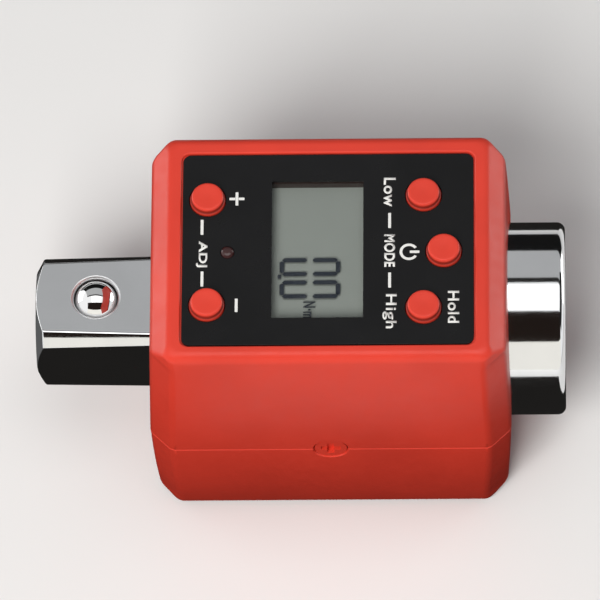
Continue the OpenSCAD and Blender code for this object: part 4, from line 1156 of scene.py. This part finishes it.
class TORQUE_OT_keys(bpy.types.Operator):
    """Turns the five keys with their flanges and stems"""

    bl_idname = "torque.keys"
    bl_label = "Keys"

    def execute(self, context):
        profile = self.profile(context)
        guide = shown("key_profile", mesh_of("key_profile", [(r, 0, h) for r, h in profile]))
        tree = turned_tree()
        for key in KEYS:
            at = middle(key + "_button")
            cap = grown(key + "_key", bpy.data.meshes.new(key + "_key"), tree, Profile=guide,
                        Rings=len(profile), Steps=KEY_STEPS, Centre=(at.x * MM, at.y * MM, 0.0),
                        Material=material_for("key_red"))
            tidy(cap, FINE_GAP)
            dress(cap, "key_red", key + "_key", [key + "_button"], 35)
        bpy.data.objects.remove(guide)
        return {"FINISHED"}

    def profile(self, context):
        """Radius and height of a key from its stem to the middle of its dished top."""
        radius, foot, edge, dish = in_mm(
            context.scene.key_settings, "top_radius", "foot_radius", "edge", "dish")
        low, high = corners("plus_button")
        flange, film_z = (high.x - low.x) / 2, PANEL_HIGH.z
        flange_z = TOP_Z - context.scene.housing_settings.ceiling / MM - FLANGE_UNDER_CEILING
        line = [(0, low.z), (STEM_R, low.z), (STEM_R, flange_z), (flange, flange_z),
                (flange, flange_z + FLANGE_H), (foot, flange_z + FLANGE_H),
                *[(foot + r, film_z + rise) for r, rise in FOOT_LINE],
                *[(radius + r, film_z + rise) for r, rise in STEP_LINE],
                *quarter(radius - edge, high.z - edge, edge)]
        for share in DISH_SHARES:
            line.append(((radius - edge) * share, high.z - dish * (1 - share * share) ** 2))
        return line


# Small fittings


FINISHES = {
    "nylon": ("drive_end_bush", "lcd_frame", "indicator_led", *[key + "_plunger" for key in KEYS]),
    "rubber": ("drive_end_seal", "socket_end_seal", "lcd_connectors"),
    "black_plastic": ("main_chip", "amplifier_chip", "buzzer", "switch_cases"),
    "steel": ("battery_cell", "shell_screws", "board_screws"),
    "brass": ("negative_contact", "positive_contact"),
    "moulded_red": ("battery_cover", "anchor_screws"),
    "lead": ("gauge_leads", "battery_leads"),
    "foil": ("strain_gauges",),
    "lens": ("display_window",),
    "board": ("circuit_board",),
    "light": ("light_pipe",),
}


class TORQUE_OT_fittings(bpy.types.Operator):
    """Gives the pieces kept from the model their finishes"""

    bl_idname = "torque.fittings"
    bl_label = "Fittings"

    def execute(self, context):
        for finish, nodes in FINISHES.items():
            for node in nodes:
                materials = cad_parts[node].data.materials
                materials.clear()
                materials.append(material_for(finish))
        return {"FINISHED"}


# Stage


CENTRE = (0, 0, SEAM_Z * MM)
AIM = (-0.213, 2.877, SEAM_Z)
FLOOR_REACH, CARD_REACH, CARD_INSIDE, CARD_Z = 6000, 100, 4, 0.6
NEAR_NOSE, NEAR_MOUTH, IN_FRONT = 10, 16, 22
PALE_FROM, PALE_BY, CLIP_START, CLIP_END = 0.15, 0.7, 0.1, 20
DARK, GREY = (0.015, 0.014, 0.013), (0.12, 0.12, 0.12)
# Soft boxes: place, width, height and colour, in metres
TOP_BOX = ((0, -0.03, 0.62), 0.5, 0.32, (1, 0.985, 0.96))
KEY_BOX = ((-0.2, -0.56, 0.66), 0.4, 0.4, (1, 0.98, 0.95))
SIDE_BOXES = [((side * 0.62, 0.3, 0.14), 0.45, 0.25, (1, 0.99, 0.97)) for side in (-1, 1)]
# Cards: name, start and end in degrees from overhead, colour, and where set turn, radius, half width
ARC_CARDS = (("grey_card", -60, -21, (0.455, 0.458, 0.462)), ("dark_gap", -21, -15, (0.012, 0.011, 0.01)),
             ("dark_card", 20, 56, (0.016, 0.011, 0.009)), ("cream_card", 56, 92, (1.0, 0.97, 0.9)),
             ("back_card", -96, -60, (0.008, 0.008, 0.008)),
             ("side_card", 37, 65, (0.02, 0.02, 0.02), 90, 480, 250))


def seen_directly(tree):
    """One for what the camera sees, straight or in metal and glass, and none for what lights."""
    path = add(tree, "ShaderNodeLightPath", output=ALL)
    seen = maths(tree, "MAXIMUM", path["Is Camera Ray"], path["Is Glossy Ray"])
    return maths(tree, "MAXIMUM", seen, path["Is Transmission Ray"])


def card(name, points, colour):
    """Card that only shows in polished metal and gloss, through pairs of points in millimetres."""
    mesh = mesh_of(name, points, [(j, j + 1, j + 3, j + 2) for j in range(0, len(points) - 2, 2)])
    shine = bpy.data.materials.new(name)
    shine.use_nodes = True
    tree = shine.node_tree
    tree.nodes.clear()
    light = add(tree, "ShaderNodeEmission", {"Color": (*colour, 1), "Strength": 1})
    add(tree, "ShaderNodeOutputMaterial", {"Surface": light}, ALL)
    mesh.materials.append(shine)
    made = shown(name, mesh)
    for ray in ("camera", "diffuse", "shadow", "transmission"):
        setattr(made, "visible_" + ray, False)


def arc_card(name, start, end, colour, turn=0, radius=500, half_width=450):
    """Card curved round the object between two angles from overhead, turned to face a side."""
    points = []
    for j in range(13):
        a = math.radians(start + (end - start) * j / 12)
        for x in (-half_width, half_width):
            spot = Vector((x, -radius * math.sin(a), radius * math.cos(a) + SEAM_Z))
            points.append(Matrix.Rotation(math.radians(turn), 3, "Z") @ spot)
    card(name, points, colour)


def soft_box(name, power, place, wide, high, colour):
    """Rectangular area light that shines at the middle of the object."""
    lamp = bpy.data.lights.new(name, "AREA")
    lamp.shape = "RECTANGLE"
    lamp.size = wide
    lamp.size_y = high
    lamp.energy = power
    lamp.color = colour
    made = shown(name, lamp)
    made.location = place
    made.rotation_euler = (Vector(CENTRE) - Vector(place)).to_track_quat("-Z", "Y").to_euler()
    return made


class TORQUE_OT_stage(bpy.types.Operator):
    """Sets the floor, the lights, the surround and the camera"""

    bl_idname = "torque.stage"
    bl_label = "Stage"

    def execute(self, context):
        stage = context.scene.stage_settings
        self.floor(stage)
        soft_box("top_box", stage.top_power, *TOP_BOX)
        soft_box("key_box", stage.key_power, *KEY_BOX).visible_glossy = False
        for values in ARC_CARDS:
            arc_card(*values)
        for values in SIDE_BOXES:
            soft_box("side_box", stage.side_power, *values)
        self.floor_cards()
        self.surround(context.scene, stage.fill)
        context.scene.view_settings.view_transform = "Standard"
        self.camera(context.scene, stage)
        return {"FINISHED"}

    def floor(self, stage):
        """Pale paper that takes the object's shadow but hardly lights the object from below."""
        reach = FLOOR_REACH
        outline = [(-reach, -reach, 0), (reach, -reach, 0), (reach, reach, 0), (-reach, reach, 0)]
        mesh = mesh_of("floor", outline, [(0, 1, 2, 3)])
        colour = tuple(stage.floor_colour)
        paper, tree, shader, place = principled("floor_paper", colour, 0.7)
        pattern = spread(tree, noise(tree, place, 30), 0, 1)
        pale = mixed(tree, pattern, (*shade(colour, 0.985), 1), (*colour, 1))
        calm = mixed(tree, seen_directly(tree), (*shade(colour, 0.08), 1), pale)
        tree.links.new(calm, shader.inputs["Base Color"])
        shader.inputs["Specular IOR Level"].default_value = 0.2
        self.pale_far_off(tree, place, shader, colour)
        mesh.materials.append(paper)
        shown("floor", mesh)

    def pale_far_off(self, tree, place, shader, colour):
        """Lets the camera see the floor as pale as near the object where no lamp reaches."""
        away = add(tree, "ShaderNodeVectorMath", {0: place}, "Value", operation="LENGTH")
        camera_ray = add(tree, "ShaderNodeLightPath", output="Is Camera Ray")
        share = maths(tree, "MULTIPLY", spread(tree, away, 0, 1, PALE_FROM, PALE_BY), camera_ray)
        light = add(tree, "ShaderNodeEmission", {"Color": (*shade(colour, 0.95), 1)})
        mix = add(tree, "ShaderNodeMixShader", {0: share, 1: shader.outputs[0], 2: light})
        tree.links.new(mix, tree.nodes["Material Output"].inputs["Surface"])

    def floor_cards(self):
        """Dark cards round the foot, as polished metal has dark things below it, and a grey one."""
        low, high = Vector(CAD_BOX[0]) / MM, Vector(CAD_BOX[1]) / MM
        left, right = LEFT_X + CARD_INSIDE, RIGHT_X - CARD_INSIDE
        front, rear = low.y - CARD_REACH, high.y + CARD_REACH
        for x0, x1, y0, y1, colour in (
                (low.x - CARD_REACH, low.x - NEAR_NOSE, front, rear, GREY),
                (low.x - NEAR_NOSE, left, front, rear, DARK),
                (right, high.x + NEAR_MOUTH, front, rear, DARK),
                (left, right, low.y - IN_FRONT, low.y + CARD_INSIDE, DARK),
                (left, right, high.y - CARD_INSIDE, rear, DARK)):
            card("floor_card", [(x, y, CARD_Z) for y in (y0, y1) for x in (x0, x1)], colour)

    def surround(self, scene, fill):
        """World that looks white and gives a faint light from all round."""
        scene.world = bpy.data.worlds.new("surround")
        scene.world.use_nodes = True
        tree = scene.world.node_tree
        faint = tree.nodes["Background"]
        faint.inputs["Color"].default_value = (0.93, 0.96, 1, 1)
        faint.inputs["Strength"].default_value = fill
        white = add(tree, "ShaderNodeBackground", {"Color": (1, 1, 1, 1), "Strength": 1})
        mix = add(tree, "ShaderNodeMixShader", {0: seen_directly(tree), 1: faint.outputs[0], 2: white})
        tree.links.new(mix, tree.nodes["World Output"].inputs["Surface"])

    def camera(self, scene, stage):
        """Camera at the photograph's angle, aimed at the middle of the object."""
        turned = (Matrix.Rotation(stage.azimuth, 4, "Z")
                  @ Matrix.Rotation(math.pi / 2 - stage.elevation, 4, "X")
                  @ Matrix.Rotation(stage.roll, 4, "Z"))
        lens = bpy.data.cameras.new("camera")
        lens.lens = lens.sensor_width * stage.distance / stage.frame_width
        lens.clip_start = CLIP_START
        lens.clip_end = CLIP_END
        made = shown("camera", lens)
        made.matrix_world = (Matrix.Translation(Vector(AIM) * MM) @ turned
                             @ Matrix.Translation((0, 0, stage.distance)))
        scene.camera = made


class TORQUE_PT_panel(bpy.types.Panel):
    """Lists the settings and the pieces of the adapter in the sidebar"""

    bl_idname = "TORQUE_PT_panel"
    bl_label = "Torque adapter"
    bl_space_type = "VIEW_3D"
    bl_region_type = "UI"
    bl_category = "Torque adapter"

    def draw(self, context):
        for group, _ in SETTINGS:
            settings = getattr(context.scene, group)
            box = self.layout.box()
            for name in settings.__annotations__:
                box.prop(settings, name)
        for operator in OPERATORS:
            self.layout.operator(operator.bl_idname)


SETTINGS = (
    ("housing_settings", HousingSettings), ("shaft_settings", ShaftSettings),
    ("panel_settings", PanelSettings), ("screen_settings", DisplaySettings),
    ("key_settings", KeySettings), ("stage_settings", StageSettings),
)
OPERATORS = (
    TORQUE_OT_housing, TORQUE_OT_shaft, TORQUE_OT_panel, TORQUE_OT_display, TORQUE_OT_keys,
    TORQUE_OT_fittings, TORQUE_OT_stage,
)


def register():
    for group, settings in SETTINGS:
        bpy.utils.register_class(settings)
        setattr(bpy.types.Scene, group, bpy.props.PointerProperty(type=settings))
    for operator in OPERATORS:
        bpy.utils.register_class(operator)
    bpy.utils.register_class(TORQUE_PT_panel)


def unregister():
    bpy.utils.unregister_class(TORQUE_PT_panel)
    for operator in reversed(OPERATORS):
        bpy.utils.unregister_class(operator)
    for group, settings in reversed(SETTINGS):
        delattr(bpy.types.Scene, group)
        bpy.utils.unregister_class(settings)


def main():
    register()
    bpy.ops.torque.housing()
    bpy.ops.torque.shaft()
    bpy.ops.torque.panel()
    bpy.ops.torque.display()
    bpy.ops.torque.keys()
    bpy.ops.torque.fittings()
    bpy.ops.torque.stage()


if __name__ == "__main__":
    main()
